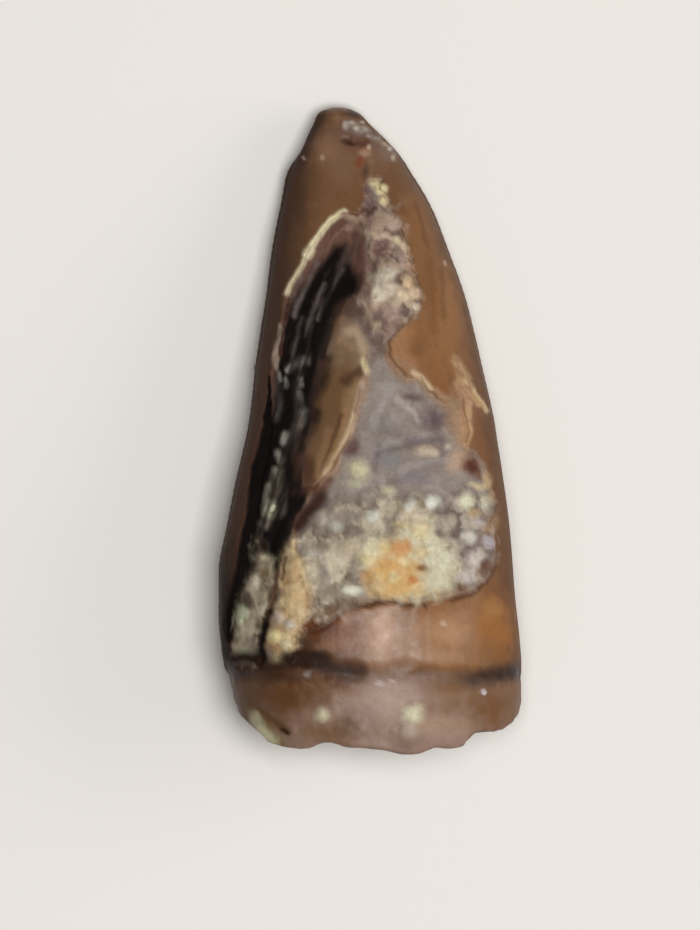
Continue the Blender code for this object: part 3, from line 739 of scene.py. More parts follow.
# Sandy crust cemented on. A zone has its pale and dark tints, lift, share of sand, soft edge and
# outline. Lumps in their own colours stand on the zones, and dark gaps part them.
crust = {
    "rough": 0.62,
    "grit": 0.7,
    "lumpRough": 0.6,
    "gapRough": 0.9,
    "chunkRise": 0.26,
    "bitRise": 0.1,
    "zones": [
        ("b09a86", "644c45", 0.16, 0.3, 0.45, [
            (-0.35, 30.4), (0.35, 30.8), (1.0, 30.2), (1.5, 29.6), (1.6, 28.8), (1.0, 28.2),
            (1.3, 27.6), (1.9, 27.2), (1.9, 26.2), (2.5, 25.5), (2.6, 24.9), (1.84, 24.2), (1.1, 23.3),
            (0.3, 23.4), (-0.2, 24.4), (-0.4, 25.2), (-0.3, 26.1), (0.1, 26.8), (0.1, 27.6),
            (0.0, 28.3), (-0.3, 29.4),
        ]),
        ("c0b5a0", "7b6f63", 0.1, 0.3, 0.55, [
            (-3.1, 13.3), (-2.35, 14.0), (-0.7, 14.3), (0.9, 14.4), (2.6, 14.2), (3.6, 13.8),
            (3.6, 13.0), (2.0, 12.9), (0.6, 12.2), (-0.2, 11.6), (-0.6, 10.4), (-0.7, 8.6),
            (-1.7, 8.3), (-2.35, 7.8), (-3.0, 7.8), (-3.5, 9.3), (-4.2, 10.7), (-3.9, 12.0),
        ]),
        ("b0a497", "6c5d58", 0.15, 0.45, 0.4, [
            (4.2, 14.1), (5.0, 14.7), (6.15, 14.5), (6.8, 13.8), (6.6, 12.4), (6.76, 11.2),
            (6.4, 10.1), (5.7, 9.4), (4.9, 9.2), (4.8, 10.6), (4.4, 11.3), (3.7, 11.9), (3.6, 13.0),
        ]),
        ("b8ae96", "5d5143", 0.5, 0.35, 0.3, [
            (-6.5, 12.0), (-6.0, 11.8), (-5.6, 10.9), (-5.5, 9.5), (-5.7, 8.4), (-6.1, 7.6),
            (-6.3, 6.1), (-6.5, 5.0), (-7.5, 5.0), (-7.7, 6.1), (-7.5, 7.7), (-7.1, 9.1), (-6.8, 10.4),
        ]),
        ("c8b48d", "a3845f", 0.45, 0.25, 0.35, [
            (-4.9, 11.2), (-4.4, 11.8), (-3.8, 10.9), (-3.5, 9.3), (-3.4, 8.4), (-3.7, 7.6),
            (-4.1, 7.0), (-4.2, 6.1), (-4.7, 5.5), (-5.4, 5.3), (-5.9, 6.3), (-5.6, 7.4), (-5.15, 8.6),
            (-5.1, 9.9),
        ]),
        ("c4bea5", "bba67f", 0.26, 0.3, 0.45, [
            (-0.56, 11.2), (0.0, 11.9), (0.9, 12.0), (1.3, 12.6), (1.5, 13.4), (2.2, 13.9), (3.0, 13.6),
            (3.35, 12.9), (3.7, 12.0), (4.5, 11.4), (4.9, 10.6), (4.8, 9.7), (4.25, 9.1),
            (3.35, 8.8), (2.6, 8.6), (1.6, 8.7), (0.7, 8.7), (0.0, 9.0), (0.1, 9.9), (-0.5, 10.4),
        ]),
    ],
    "lumps": [
        # down the top of the field
        ("cdbf96", 0.1, 31.8, 0.45, 0.4, 0.26), ("d0c298", 0.5, 31.4, 0.42, 0.5, 0.26),
        ("c4b38e", 0.6, 30.8, 0.38, 0.36, 0.22), ("745d5e", -0.06, 30.7, 0.6, 0.7, 0.08),
        ("6b5450", -0.2, 31.4, 0.4, 0.5, 0.05), ("957d6e", 0.4, 29.6, 0.85, 0.7, 0.2),
        ("ac9687", 1.25, 29.5, 0.6, 0.6, 0.18), ("c2b294", 1.45, 28.6, 0.36, 0.4, 0.2),
        ("715852", 0.4, 28.3, 1.0, 0.6, -0.06), ("b0988a", 1.75, 27.6, 0.5, 0.6, 0.18),
        ("c6bcab", 0.9, 26.7, 0.8, 0.6, 0.28), ("c0b4a1", 0.5, 26.5, 0.7, 0.6, 0.28),
        ("cec4b1", 0.4, 25.6, 0.8, 0.7, 0.3), ("c0b3a0", 1.1, 25.9, 0.7, 0.6, 0.26),
        ("d2bfa2", 1.65, 25.5, 0.5, 0.5, 0.24), ("cdb38f", 2.0, 26.3, 0.45, 0.5, 0.22),
        ("a98c76", 2.05, 27.1, 0.35, 0.5, 0.15), ("cfb79c", 2.3, 25.7, 0.5, 0.5, 0.22),
        ("c7b39c", 1.75, 28.2, 0.35, 0.4, 0.2), ("b09f8c", 1.25, 25.1, 0.6, 0.5, 0.2),
        ("846b60", -0.3, 25.7, 0.5, 0.8, 0.1), ("bba592", 0.7, 28.9, 0.6, 0.4, 0.2),
        ("d4c3b2", 2.4, 24.9, 0.36, 0.4, 0.2), ("a08a7f", 1.1, 24.5, 0.9, 0.7, 0.15),
        ("6b5551", 1.75, 24.5, 0.4, 0.3, -0.06), ("75605c", 0.35, 24.3, 0.5, 0.6, -0.05),
        ("8e776e", 0.9, 23.5, 0.7, 0.6, 0.08), ("8b7267", -0.2, 29.3, 0.5, 0.6, 0.1),
        ("6f544e", 0.45, 27.9, 1.1, 0.6, -0.12), ("745a50", -0.1, 27.2, 0.8, 0.6, -0.05),
        ("5f4740", -0.2, 30.2, 0.9, 0.35, -0.05),
        # the cream and orange heap
        ("c7c4ae", 3.8, 10.9, 1.3, 1.2, 0.25), ("c6c1a8", 3.7, 9.8, 1.1, 0.9, 0.2),
        ("cdc8ae", 3.2, 11.9, 0.9, 0.9, 0.2), ("c8bb9f", 2.4, 13.0, 1.0, 0.9, 0.15),
        ("c8a676", 1.3, 10.4, 2.1, 2.0, 0.05), ("cfc9a9", -0.1, 11.2, 1.0, 1.0, 0.25),
        ("c8a068", 0.2, 10.2, 1.1, 1.3, 0.05), ("c8a268", 1.3, 9.3, 1.8, 0.8, 0.0),
        ("c08d5c", 1.55, 11.6, 0.9, 0.7, 0.12), ("c5a06a", 2.0, 10.0, 1.1, 0.9, 0.1),
        ("c8a468", 0.9, 9.8, 1.1, 0.8, 0.12), ("b3763f", 2.2, 9.75, 0.5, 0.4, 0.05),
        ("c39a60", 1.0, 10.7, 0.8, 0.7, 0.15), ("ccb084", 0.25, 9.3, 0.8, 0.6, 0.15),
        ("7d5a3a", 2.8, 10.4, 0.45, 0.3, -0.2), ("cdbd95", 2.7, 11.3, 0.6, 0.6, 0.15),
        ("d0c29a", -0.2, 10.9, 0.6, 0.7, 0.15),
        ("cdbb8e", 1.1, 9.9, 0.42, 0.42, 0.1), ("cdb888", 0.6, 11.5, 0.5, 0.4, 0.1),
        ("d0be90", 1.7, 10.8, 0.42, 0.36, 0.12), ("cbb284", 2.5, 9.3, 0.55, 0.36, 0.08),
        ("d0c49b", 2.6, 12.2, 0.6, 0.5, 0.12), ("cab27f", 0.3, 9.9, 0.4, 0.35, 0.08),
        # lumps standing on the grey dentine and round the heap
        ("d2d2c8", 2.11, 13.88, 0.62, 0.58, 0.3), ("d2d2c8", 3.34, 14.11, 0.58, 0.6, 0.3),
        ("b7a793", 2.9, 16.95, 0.6, 0.4, 0.1), ("b5a695", 3.4, 16.8, 0.5, 0.4, 0.1),
        ("b3a697", 4.23, 17.12, 0.3, 0.26, 0.1), ("cbcbc0", 0.04, 13.3, 0.65, 0.5, 0.25),
        ("b8b296", 0.87, 14.7, 0.6, 0.45, 0.15), ("bfb999", -0.67, 15.9, 0.85, 0.8, 0.16),
        ("a7a28c", -1.0, 15.2, 0.9, 0.4, 0.1), ("aaa69e", -2.01, 12.76, 0.5, 0.5, 0.16),
        ("b49c7c", 6.4, 15.3, 0.5, 0.6, 0.1), ("c2b08c", 6.0, 14.95, 0.5, 0.35, 0.15),
        ("b09a7a", 6.5, 14.4, 0.35, 0.4, 0.1), ("8a6d50", 6.75, 13.0, 0.4, 0.6, 0.0),
        ("d0cfb5", 5.2, 14.1, 0.6, 0.7, 0.24), ("c8c7ac", 6.2, 14.1, 0.6, 0.5, 0.2),
        ("c6c2b8", 5.4, 12.2, 0.6, 0.65, 0.26), ("bdb3ac", 5.8, 11.0, 0.8, 0.7, 0.2),
        ("b9b0aa", 5.3, 10.0, 0.9, 0.6, 0.2), ("9c7d5e", 6.4, 12.7, 0.6, 0.8, 0.0),
        ("ab9271", 5.7, 13.4, 0.6, 0.4, 0.05), ("6a4f42", 6.3, 10.6, 0.4, 0.6, -0.08),
        ("c4b8a7", 2.5, 13.4, 0.6, 0.6, 0.16), ("bcb1a0", 1.6, 13.3, 0.55, 0.5, 0.15),
        ("aba4aa", 6.4, 11.8, 0.5, 0.6, 0.16), ("b0a8a6", 6.0, 13.0, 0.5, 0.5, 0.15),
        ("a8a196", -3.2, 11.4, 1.0, 0.8, 0.16), ("c2b7a2", -2.0, 10.8, 1.2, 1.0, 0.2),
        ("b8a993", -1.2, 11.6, 1.0, 0.8, 0.18), ("cdcdbb", -1.2, 9.2, 0.9, 0.34, 0.16),
        ("857a69", -2.6, 9.1, 0.9, 0.5, 0.1), ("91867c", -2.7, 10.0, 0.5, 1.0, 0.05),
        ("a2988d", -2.6, 13.2, 1.1, 0.7, 0.1), ("7d7169", -1.2, 13.2, 1.0, 0.7, 0.02),
        ("6e5c4d", -1.5, 8.5, 1.0, 0.5, -0.02), ("85796c", -2.8, 11.7, 0.8, 0.5, 0.05),
        ("a89c8e", 4.3, 13.0, 0.6, 0.5, 0.1), ("b8ab9a", 4.5, 11.6, 0.6, 0.6, 0.12),
        ("7d6351", 6.1, 10.1, 0.5, 0.5, 0.0), ("857468", 6.2, 13.2, 0.4, 0.4, 0.0),
        ("7d7169", -0.6, 12.4, 0.5, 0.5, 0.0), ("8a7d74", 0.9, 13.0, 0.5, 0.4, 0.0),
        ("85776e", 3.7, 12.3, 0.4, 0.4, -0.02), ("7b5f4e", 5.0, 9.3, 0.4, 0.4, 0.0),
        ("6a5442", -2.3, 8.2, 0.8, 0.35, 0.0),
        # the left columns
        ("c0a57c", -4.2, 8.6, 0.7, 1.2, 0.3), ("b99e78", -4.35, 10.3, 0.5, 1.1, 0.3),
        ("c0ad88", -3.9, 7.9, 0.45, 0.6, 0.2), ("bcb6aa", -4.55, 7.24, 0.45, 0.4, 0.25),
        ("d8cb98", -5.45, 6.64, 0.55, 0.5, 0.3), ("c4ba98", -4.7, 6.2, 0.5, 0.45, 0.3),
        ("a08c70", -4.5, 7.0, 0.3, 0.2, 0.0), ("b9a884", -5.1, 5.4, 0.55, 0.45, 0.2),
        ("7c715d", -6.0, 10.4, 0.6, 0.7, 0.25), ("aca08c", -6.6, 9.2, 0.6, 0.7, 0.25),
        ("b0b699", -7.2, 7.85, 0.45, 0.9, 0.25), ("a0957f", -6.1, 8.9, 0.55, 0.8, 0.25),
        ("85796a", -6.9, 6.2, 0.55, 1.0, 0.2), ("b8a99a", -5.2, 7.7, 0.45, 0.5, 0.2),
        ("564a3f", -6.2, 11.3, 0.4, 0.6, 0.2), ("54473a", -6.9, 8.7, 0.5, 0.7, -0.2),
        ("5b4e41", -6.3, 7.3, 0.45, 0.7, -0.15), ("bfb7a4", -6.4, 9.7, 0.5, 0.5, 0.15),
        ("9a937d", -6.75, 7.2, 0.4, 0.5, 0.15), ("97937f", -7.0, 5.6, 0.45, 0.6, 0.1),
        ("2a1d15", -6.0, 11.6, 0.5, 0.6, -0.2), ("746145", -5.9, 10.0, 0.4, 0.5, 0.05),
        ("5f4a34", -5.95, 7.3, 0.3, 0.5, -0.1),
    ],
    "gaps": [
        ("5a4232", 0.26, -0.2, [(-5.3, 10.2), (-5.35, 8.9), (-5.7, 7.9)]),
        ("2a1a12", 0.24, -0.3, [(-5.7, 8.0), (-5.95, 7.2)]),
        ("0e0705", 0.34, -0.4, [(-5.95, 7.2), (-6.1, 6.2), (-6.1, 5.4)]),
        # these two gaps are painted shadow below the tongue's lower end, laid over a real dip
        ("0b0504", 0.7, -0.4, [(-4.1, 13.8), (-4.9, 12.7), (-5.3, 11.6)]),
        ("3a241d", 0.7, -0.2, [(-2.9, 14.3), (-3.4, 13.6), (-4.1, 12.7)]),
        ("6b4d36", 0.16, -0.1, [(-5.0, 9.8), (-4.85, 11.0)]),
        ("1a0d07", 0.65, -0.1, [(-7.8, 5.3), (-6.9, 5.4), (-6.1, 5.4)]),
        ("553a2a", 0.7, 0.0, [(-2.8, 5.2), (-1.6, 5.0), (-0.6, 4.8)]),
        ("20120a", 0.7, -0.08, [(-4.6, 5.4), (-3.6, 5.5), (-2.7, 5.3)]),
    ],
}


# sandyCrust: a zone's shade goes by each chunk's number and its lift by 1 - away^2; each lump is a dab
# worn away by noise
def sandyCrust(c):
    for pale, dark, lift, sand, soft, outline in c["zones"]:
        mask = patch(outline, soft, soft)
        shade = tint(dark) + (tint(pale) - tint(dark)) * ease(chunkNumber + 0.3 * mottle, 0.1, 0.8)[:, None]
        lay(mask, shade, lift, rough=c["rough"], grit=c["grit"], sand=sand)
        lay(0.3 * mask * (1.0 - ease(chunkGap, 0.0, 0.4)), tint(dark) * 0.7)
        lay(mask, lift=c["chunkRise"] * (1.0 - chunkAway**2) + c["bitRise"] * (1.0 - bitAway))
    for colour, across, up, reachAcross, reachUp, lift in c["lumps"]:
        mask = dab(across, up, reachAcross, reachUp, 0.75)
        share = mask * (0.97 - 0.35 * ease(mottle + 0.3 * broad, 0.1, 0.7))
        grained = tint(colour) * (0.92 + 0.16 * bitNumber[:, None])
        lay(share, grained, lift, rough=c["lumpRough"], grit=0.6)
    layLines(c["gaps"], 0.9, rough=c["gapRough"], sand=0.0)


# The dark crack that rings the tooth above the root, fainter in the middle of the face as painted highlight
# where the band's highlight crosses it.
ringCrack = {
    "route": [
        (-8.8, 4.7), (-7.0, 4.7), (-5.5, 4.9), (-4.0, 5.25), (-2.5, 4.9), (-1.0, 4.65), (0.4, 4.65),
        (1.8, 4.85), (2.8, 4.6), (3.7, 4.3), (5.5, 4.25), (6.5, 4.4), (7.5, 4.6), (8.8, 4.75),
    ],
    "colour": "2e1a11",
    "deepest": "20110c",
    "rough": 0.45,
    "half": 0.85,
    "depth": -0.13,
    "deepHalf": 0.42,
    "faintMiddle": 2.1,
    "faintReach": 3.6,
    "faintLoss": 0.72,
}


# ringRound: a stroke on both faces, times 1 - faintLoss near its middle, where the lighter crack is painted
# highlight
def ringRound(r):
    for faces in ("facesUp", "facesDown"):
        mask = stroke(r["route"], r["half"], 0.9, faces)
        near = ease(r["faintReach"] - np.abs(skin["across"] - r["faintMiddle"]), 0.0, 1.6)
        faint = 1.0 - r["faintLoss"] * near
        lay(mask * faint * (0.8 + 0.5 * patchy), r["colour"], rough=r["rough"])
        lay(mask, lift=r["depth"])
        lay(0.45 * stroke(r["route"], r["deepHalf"], 1.0, faces) * faint, r["deepest"])


# The worn tip: grey and pale bruises, dark seams and one rusty spot.
tipWear = {
    "rough": 0.45,
    "grit": 0.6,
    "markShare": 0.9,
    "dents": [(-0.6, 34.9, 1.1, 0.75, -0.26), (0.5, 34.1, 0.7, 0.5, -0.2), (-1.4, 34.1, 0.5, 0.3, -0.1)],
    "marks": [
        ("6b5146", -1.4, 34.6, 1.8, 1.5), ("7a665b", 0.9, 33.6, 0.8, 1.0),
        ("3b2e2a", -0.9, 35.6, 1.3, 0.45), ("463a37", 0.4, 34.9, 0.6, 0.35),
        ("8d827b", -0.6, 34.75, 1.0, 0.5), ("8a807a", 0.3, 34.3, 0.7, 0.4),
        ("a39a91", -1.5, 34.95, 0.34, 0.34), ("a49a91", -1.1, 35.05, 0.34, 0.2),
        ("aaa19b", -0.35, 34.8, 0.34, 0.22), ("bda999", 0.75, 34.0, 0.4, 0.24),
        ("452a20", -1.4, 34.05, 0.7, 0.3), ("523428", -0.6, 33.95, 0.9, 0.34),
        ("9a8070", -0.5, 33.4, 0.5, 0.34), ("74402a", -0.78, 32.85, 0.34, 0.45),
        ("a98f78", -2.72, 33.2, 0.24, 0.34), ("a08a78", -3.8, 33.15, 0.24, 0.16),
        ("4f382b", -0.35, 32.4, 0.3, 0.7), ("bfb6aa", -0.9, 34.75, 0.26, 0.2),
        ("bdb3aa", -0.2, 34.4, 0.24, 0.16), ("b8aea3", -0.5, 35.15, 0.24, 0.14),
        ("d5ccc0", 0.95, 33.75, 0.24, 0.18), ("b8a898", 1.15, 33.2, 0.2, 0.4),
        ("a5806a", -0.35, 33.5, 0.5, 0.3), ("7a4228", -0.62, 33.15, 0.3, 0.3),
        ("b39a86", -0.2, 33.75, 0.22, 0.18), ("3c2620", -1.1, 33.95, 0.5, 0.2),
    ],
}


# wornTip: dabs that dent the tip, then dabs of colour
def wornTip(t):
    for across, up, reachAcross, reachUp, lift in t["dents"]:
        lay(dab(across, up, reachAcross, reachUp, 0.6), lift=lift, grit=t["grit"])
    for colour, across, up, reachAcross, reachUp in t["marks"]:
        lay(t["markShare"] * dab(across, up, reachAcross, reachUp, 1.0), colour, rough=t["rough"])


# Small things on the band above the root, and the lens of pale mineral at the lower left.
smallMarks = {
    "lens": [(-7.0, 2.6), (-6.4, 2.45), (-5.6, 1.7), (-4.9, 0.9), (-4.7, 0.3), (-5.6, 0.2), (-6.5, 1.2)],
    "lensColour": "74603f",
    "lensLift": 0.08,
    "strokes": [
        ("99937a", 0.5, 0.05, [(-6.5, 2.1), (-6.0, 1.4), (-5.4, 0.9)]),
        ("b0ab8e", 0.34, 0.08, [(-6.2, 1.5), (-5.6, 0.9)]),
        ("5c4128", 0.3, -0.04, [(-6.3, 2.6), (-5.4, 2.0), (-4.6, 1.3)]),
        ("2a1a10", 0.16, -0.05, [(-4.95, 1.5), (-4.6, 1.25)]),
    ],
    "dabs": [
        ("bda896", 3.87, 7.4, 0.24, 0.16, 0.05), ("c3b8a0", 2.57, 8.72, 0.12, 0.1, 0.08),
        ("c3b8a0", 3.55, 8.85, 0.12, 0.1, 0.08), ("9c6f42", 6.6, 8.2, 1.0, 1.0, 0.0),
    ],
    "knob": (2.2, 1.3, 1.3, 1.1, 0.28),
}


# smallThings: the lens is a patch, the knob a dab of lift alone, then strokes and dabs
def smallThings(s):
    lay(patch(s["lens"], 0.2), s["lensColour"], s["lensLift"], rough=0.4)
    *knobPlace, knobLift = s["knob"]
    lay(dab(*knobPlace, soft=0.8), lift=knobLift)
    layLines(s["strokes"], 0.8)
    laySpots(s["dabs"], 0.8, 0.8)


# The underside: the same enamel, with two long cracks, a lost flake and some grit.
underside = {
    "rim": "a4876e",
    "crackDark": "2a1911",
    "gritTint": "8c7c66",
    "flake": [
        (2.6, 12.6), (4.4, 13.0), (5.6, 10.8), (6.2, 7.6), (5.0, 5.6), (3.4, 6.2), (2.2, 8.2), (2.9, 10.4),
    ],
    "cracks": [
        (0.34, -0.2, [(1.4, 3.0), (0.8, 6.5), (1.3, 10.0), (1.1, 14.0), (1.8, 18.0), (0.9, 23.5)]),
        (0.3, -0.16, [(-4.6, 7.0), (-4.1, 10.0), (-4.3, 13.0), (-3.8, 16.0), (-4.1, 19.0)]),
    ],
}


# hiddenSide: the flake is a step down inside its outline, and its rim is where that distance is near 0
def hiddenSide(h):
    inside = depthInside(skin["across"], skin["up"], h["flake"]) + 0.5 * patchy + 0.2 * mottle
    mask = ease(inside, -0.15, 0.15) * skin["facesDown"]
    lay(mask, dentine["base"], dentine["step"], rough=0.55, grit=0.5)
    lay(mask * ease(patchy, 0.0, 0.6), dentine["dark"])
    rim = (1.0 - ease(np.abs(inside), 0.05, 0.2)) * skin["facesDown"]
    lay(rim, h["rim"])
    for half, lift, route in h["cracks"]:
        lay(stroke(route, half, 0.7, "facesDown"), h["crackDark"], lift, rough=0.6)
    stuck = skin["facesDown"] * ease(broad + mottle, 0.75, 1.1)
    lay(stuck, h["gritTint"], 0.1, rough=0.7, grit=1.0, sand=0.5)


# The broken end: a dark skin, then dentine in rings, then the pulp hollow packed with sand.
brokenEnd = {
    "dentine": "8f7c6c",
    "stain": "5b4433",
    "skin": "3d2a20",
    "sand": "9a8a72",
    "growthRings": 46.0,
    "pulp": 0.42,
    "relief": 0.3,
}


# brokenBase: also gives how far each point of the break is pushed up, from its relief times lumpy noise
def brokenBase(b):
    mask = 1.0 - skin["wall"]
    reach = ring + 0.04 * patchy
    lay(mask, b["dentine"], rough=0.65, grit=0.9)
    lay(mask * ease(np.sin(reach * b["growthRings"] + 2.0 * mottle), 0.2, 1.0) * 0.5, b["stain"])
    lay(mask * ease(patchy, 0.1, 0.8) * 0.7, b["stain"])
    lay(mask * ease(reach, 0.93, 0.98), b["skin"])
    packed = mask * (1.0 - ease(reach, b["pulp"], b["pulp"] + 0.06))
    lay(packed, tint(b["sand"]) * (0.9 + 0.25 * patchy[:, None]), sand=0.6, grit=1.0)
    lumpy = patchy + 0.35 * mottle * ease(ring, 0.3, 0.5)
    return b["relief"] * lumpy * ease(1.0 - ring, 0.0, 0.2) * mask


enamelCoat(enamel)
rootZone(root)
dentineField(dentine)
deepTrough(trough)
enamelTongue(tongue)
brokenEdges(edges)
sandyCrust(crust)
ringRound(ringCrack)
wornTip(tipWear)
smallThings(smallMarks)
hiddenSide(underside)
baseDepth = brokenBase(brokenEnd)
print("relief and colours laid")


# Two low cutting ridges down the back and the front: turn in degrees, where each starts and ends, height.
ridges = {
    "pair": [(190.0, 4.0, 34.0, 0.3), (350.0, 15.0, 34.5, 0.22)],
    "width": 3.2,
    "notches": 2.2,
}


# cuttingRidges: each ridge is exp(-|angle| / width), eased out at both ends and faintly notched
def cuttingRidges(r):
    lift = np.zeros(len(bare))
    notch = 0.96 + 0.04 * np.sin(2.0 * np.pi * bare[:, 1] * r["notches"])
    for angle, low, high, height in r["pair"]:
        away = np.degrees(np.abs(np.angle(np.exp(1j * (turn.ravel() - np.radians(angle))))))
        reach = ease(bare[:, 1], low, low + 4.0) * (1.0 - ease(bare[:, 1], high - 2.0, high))
        lift += height * reach * notch * np.exp(-away / r["width"])
    return lift


skin["lift"] += cuttingRidges(ridges)
skin["lift"] *= skin["wall"]
# lifted straight up where the skin faces up, so the plan keeps its places, and along its normal elsewhere
upright = ease(normals[:, 2], 0.1, 0.45)[:, None]
lifting = normals * (1.0 - upright) + np.array([0.0, 0.0, 1.0]) * upright
points = bare + lifting * skin["lift"][:, None]
points[:, 1] += baseDepth
points[:, 2] = np.maximum(points[:, 2], 0.0)
middle = (points.min(axis=0) + points.max(axis=0)) / 2.0
shift = np.array([(cadLow.x + cadHigh.x) / 2.0 / mm, (cadLow.y + cadHigh.y) / 2.0 / mm, 0.0])
shift -= [middle[0], middle[1], 0.0]
points += shift
boxLow = np.array(cadLow) / mm
boxHigh = np.array(cadHigh) / mm
# peaks above the knee are drawn in smoothly, so none passes the box's top
knee = boxHigh[2] - crown["headroom"]
over = np.maximum(points[:, 2] - knee, 0.0) / crown["headroom"]
points[:, 2] = np.minimum(points[:, 2], knee) + crown["headroom"] * (1.0 - np.exp(-over))
points = np.clip(points, boxLow, boxHigh)
print("tooth box in mm:", points.min(axis=0).round(2), points.max(axis=0).round(2))


# ringedSkin: joins a grid of rings into one closed mesh, with a single point at each end
def ringedSkin(name, grid, ends):
    rows, columns = grid.shape[:2]
    corners = np.arange(rows * columns).reshape(rows, columns)
    nextColumn = np.roll(corners, -1, axis=1)
    quads = np.stack([corners[:-1], nextColumn[:-1], nextColumn[1:], corners[1:]], axis=-1)
    first, last = rows * columns, rows * columns + 1
    bottom = np.stack([np.full(columns, first), nextColumn[0], corners[0]], axis=-1)
    top = np.stack([corners[-1], nextColumn[-1], np.full(columns, last)], axis=-1)
    verts = np.concatenate([grid.reshape(-1, 3), ends])
    faces = quads.reshape(-1, 4).tolist() + bottom.tolist() + top.tolist()
    mesh = bpy.data.meshes.new(name)
    mesh.from_pydata((verts * mm).tolist(), [], faces)
    mesh.update()
    return mesh


# addPiece: a smooth-shaded object for a mesh, with its material, tied to the tooth's body
def addPiece(name, mesh, material):
    mesh.polygons.foreach_set("use_smooth", np.full(len(mesh.polygons), True))
    mesh.materials.append(material)
    piece = bpy.data.objects.new(name, mesh)
    bpy.context.scene.collection.objects.link(piece)
    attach(piece, "root")
    return piece


# giveValues: one number for each point, as an attribute that the material reads
def giveValues(mesh, name, values):
    layer = mesh.attributes.new(name, "FLOAT", "POINT")
    layer.data.foreach_set("value", np.asarray(values, np.float32))


# giveColour: one colour for each point, held between 0 and 1
def giveColour(mesh, name, colours):
    layer = mesh.color_attributes.new(name, "FLOAT_COLOR", "POINT")
    opaque = np.concatenate([np.clip(colours, 0.0, 1.0), np.ones((len(colours), 1))], axis=1)
    layer.data.foreach_set("color", opaque.astype(np.float32).ravel())


# addNode: a new node with its settings
def addNode(tree, kind, **settings):
    node = tree.nodes.new(kind)
    for name, value in settings.items():
        setattr(node, name, value)
    return node


# noiseAt: a noise node whose scale is one over its size
def noiseAt(tree, place, size, detail):
    node = addNode(tree, "ShaderNodeTexNoise")
    node.inputs["Scale"].default_value = 1.0 / size
    node.inputs["Detail"].default_value = detail
    tree.links.new(place, node.inputs["Vector"])
    return node.outputs["Fac"]


# sums: a math node over numbers or other nodes' outputs
def sums(tree, operation, first, second, third=0.0):
    node = addNode(tree, "ShaderNodeMath", operation=operation)
    for socket, value in zip(node.inputs, (first, second, third)):
        if isinstance(value, (int, float)):
            socket.default_value = value
        else:
            tree.links.new(value, socket)
    return node.outputs[0]


# The one material: sizes of its fine and coarse noise, and how far each acts.
surface = {
    "specular": 0.19,
    "grainSize": 0.22 * mm,
    "scratchSize": 0.6 * mm,
    "shadeByGrit": 0.5,
    "shadeLeast": 0.2,
    "roughSwing": 0.3,
    "roughLeast": 0.08,
    "bumpByGrit": 0.9,
    "dust": 0.1,
    "bumpReach": 0.06 * mm,
}


# fossilSurface: painted colour times fine noise, painted roughness plus noise, bump by painted grit
def fossilSurface(s, name):
    material = bpy.data.materials.new(name)
    material.use_nodes = True
    tree = material.node_tree
    shader = tree.nodes["Principled BSDF"]
    shader.inputs["Specular IOR Level"].default_value = s["specular"]
    place = addNode(tree, "ShaderNodeTexCoord").outputs["Object"]
    paint = addNode(tree, "ShaderNodeAttribute", attribute_name="paint").outputs["Color"]
    rough = addNode(tree, "ShaderNodeAttribute", attribute_name="rough").outputs["Fac"]
    grit = addNode(tree, "ShaderNodeAttribute", attribute_name="grit").outputs["Fac"]
    fine = noiseAt(tree, place, s["grainSize"], 4.0)
    coarse = noiseAt(tree, place, s["scratchSize"], 3.0)

    swing = sums(tree, "MULTIPLY_ADD", grit, s["shadeByGrit"], s["shadeLeast"])
    shade = sums(tree, "MULTIPLY_ADD", sums(tree, "SUBTRACT", fine, 0.5), swing, 1.0)
    scaled = addNode(tree, "ShaderNodeVectorMath", operation="SCALE")
    tree.links.new(paint, scaled.inputs[0])
    tree.links.new(shade, scaled.inputs["Scale"])
    tree.links.new(scaled.outputs[0], shader.inputs["Base Color"])

    worn = sums(tree, "MULTIPLY_ADD", sums(tree, "SUBTRACT", coarse, 0.5), s["roughSwing"], rough)
    tree.links.new(sums(tree, "MAXIMUM", worn, s["roughLeast"]), shader.inputs["Roughness"])
    bump = addNode(tree, "ShaderNodeBump")
    bump.inputs["Distance"].default_value = s["bumpReach"]
    depth = sums(tree, "MULTIPLY_ADD", grit, s["bumpByGrit"], s["dust"])
    tree.links.new(sums(tree, "MULTIPLY", fine, depth), bump.inputs["Height"])
    tree.links.new(bump.outputs["Normal"], shader.inputs["Normal"])
    return material


# withEnds: a value for each grid point, then one each for the two points that close the ends
def withEnds(values):
    return np.concatenate([values, values[:1], values[-1:]])


grid = points.reshape(*turn.shape, 3)
ends = np.stack([grid[0].mean(axis=0), grid[-1].mean(axis=0)])
toothMesh = ringedSkin("toothSurface", grid, ends)
giveColour(toothMesh, "paint", withEnds(skin["colour"]))
giveValues(toothMesh, "rough", withEnds(skin["rough"]))
giveValues(toothMesh, "grit", withEnds(skin["grit"]))
fossil = fossilSurface(surface, "fossilEnamel")
toothSurface = addPiece("toothSurface", toothMesh, fossil)
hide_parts("tooth")
print("tooth surface:", len(toothMesh.polygons), "faces")


# Loose sand: small blunt crystals sunk in the skin under the tooth and in the hollow of its base, and
# two bigger ones placed on its face, each with its colour, place and radius.
grains = {
    "count": 220,
    "seed": 7,
    "rows": 6,
    "columns": 9,
    "size": (0.08, 0.2),
    "placed": [("b3b59c", -5.6, 13.7, 0.216), ("b9aeb0", 6.17, 3.59, 0.192)],
    "clearance": 0.3,
    "hollow": 0.45,
    "pale": "c8c4b4",
    "palest": 0.5,
    "shades": (0.85, 1.2),
    "bluntness": 0.8,
    "stretch": (0.65, 1.35),
    "lumpiness": 0.12,
    "sunk": 0.45,
    "rough": (0.45, 0.7),
    "grit": 0.5,
}


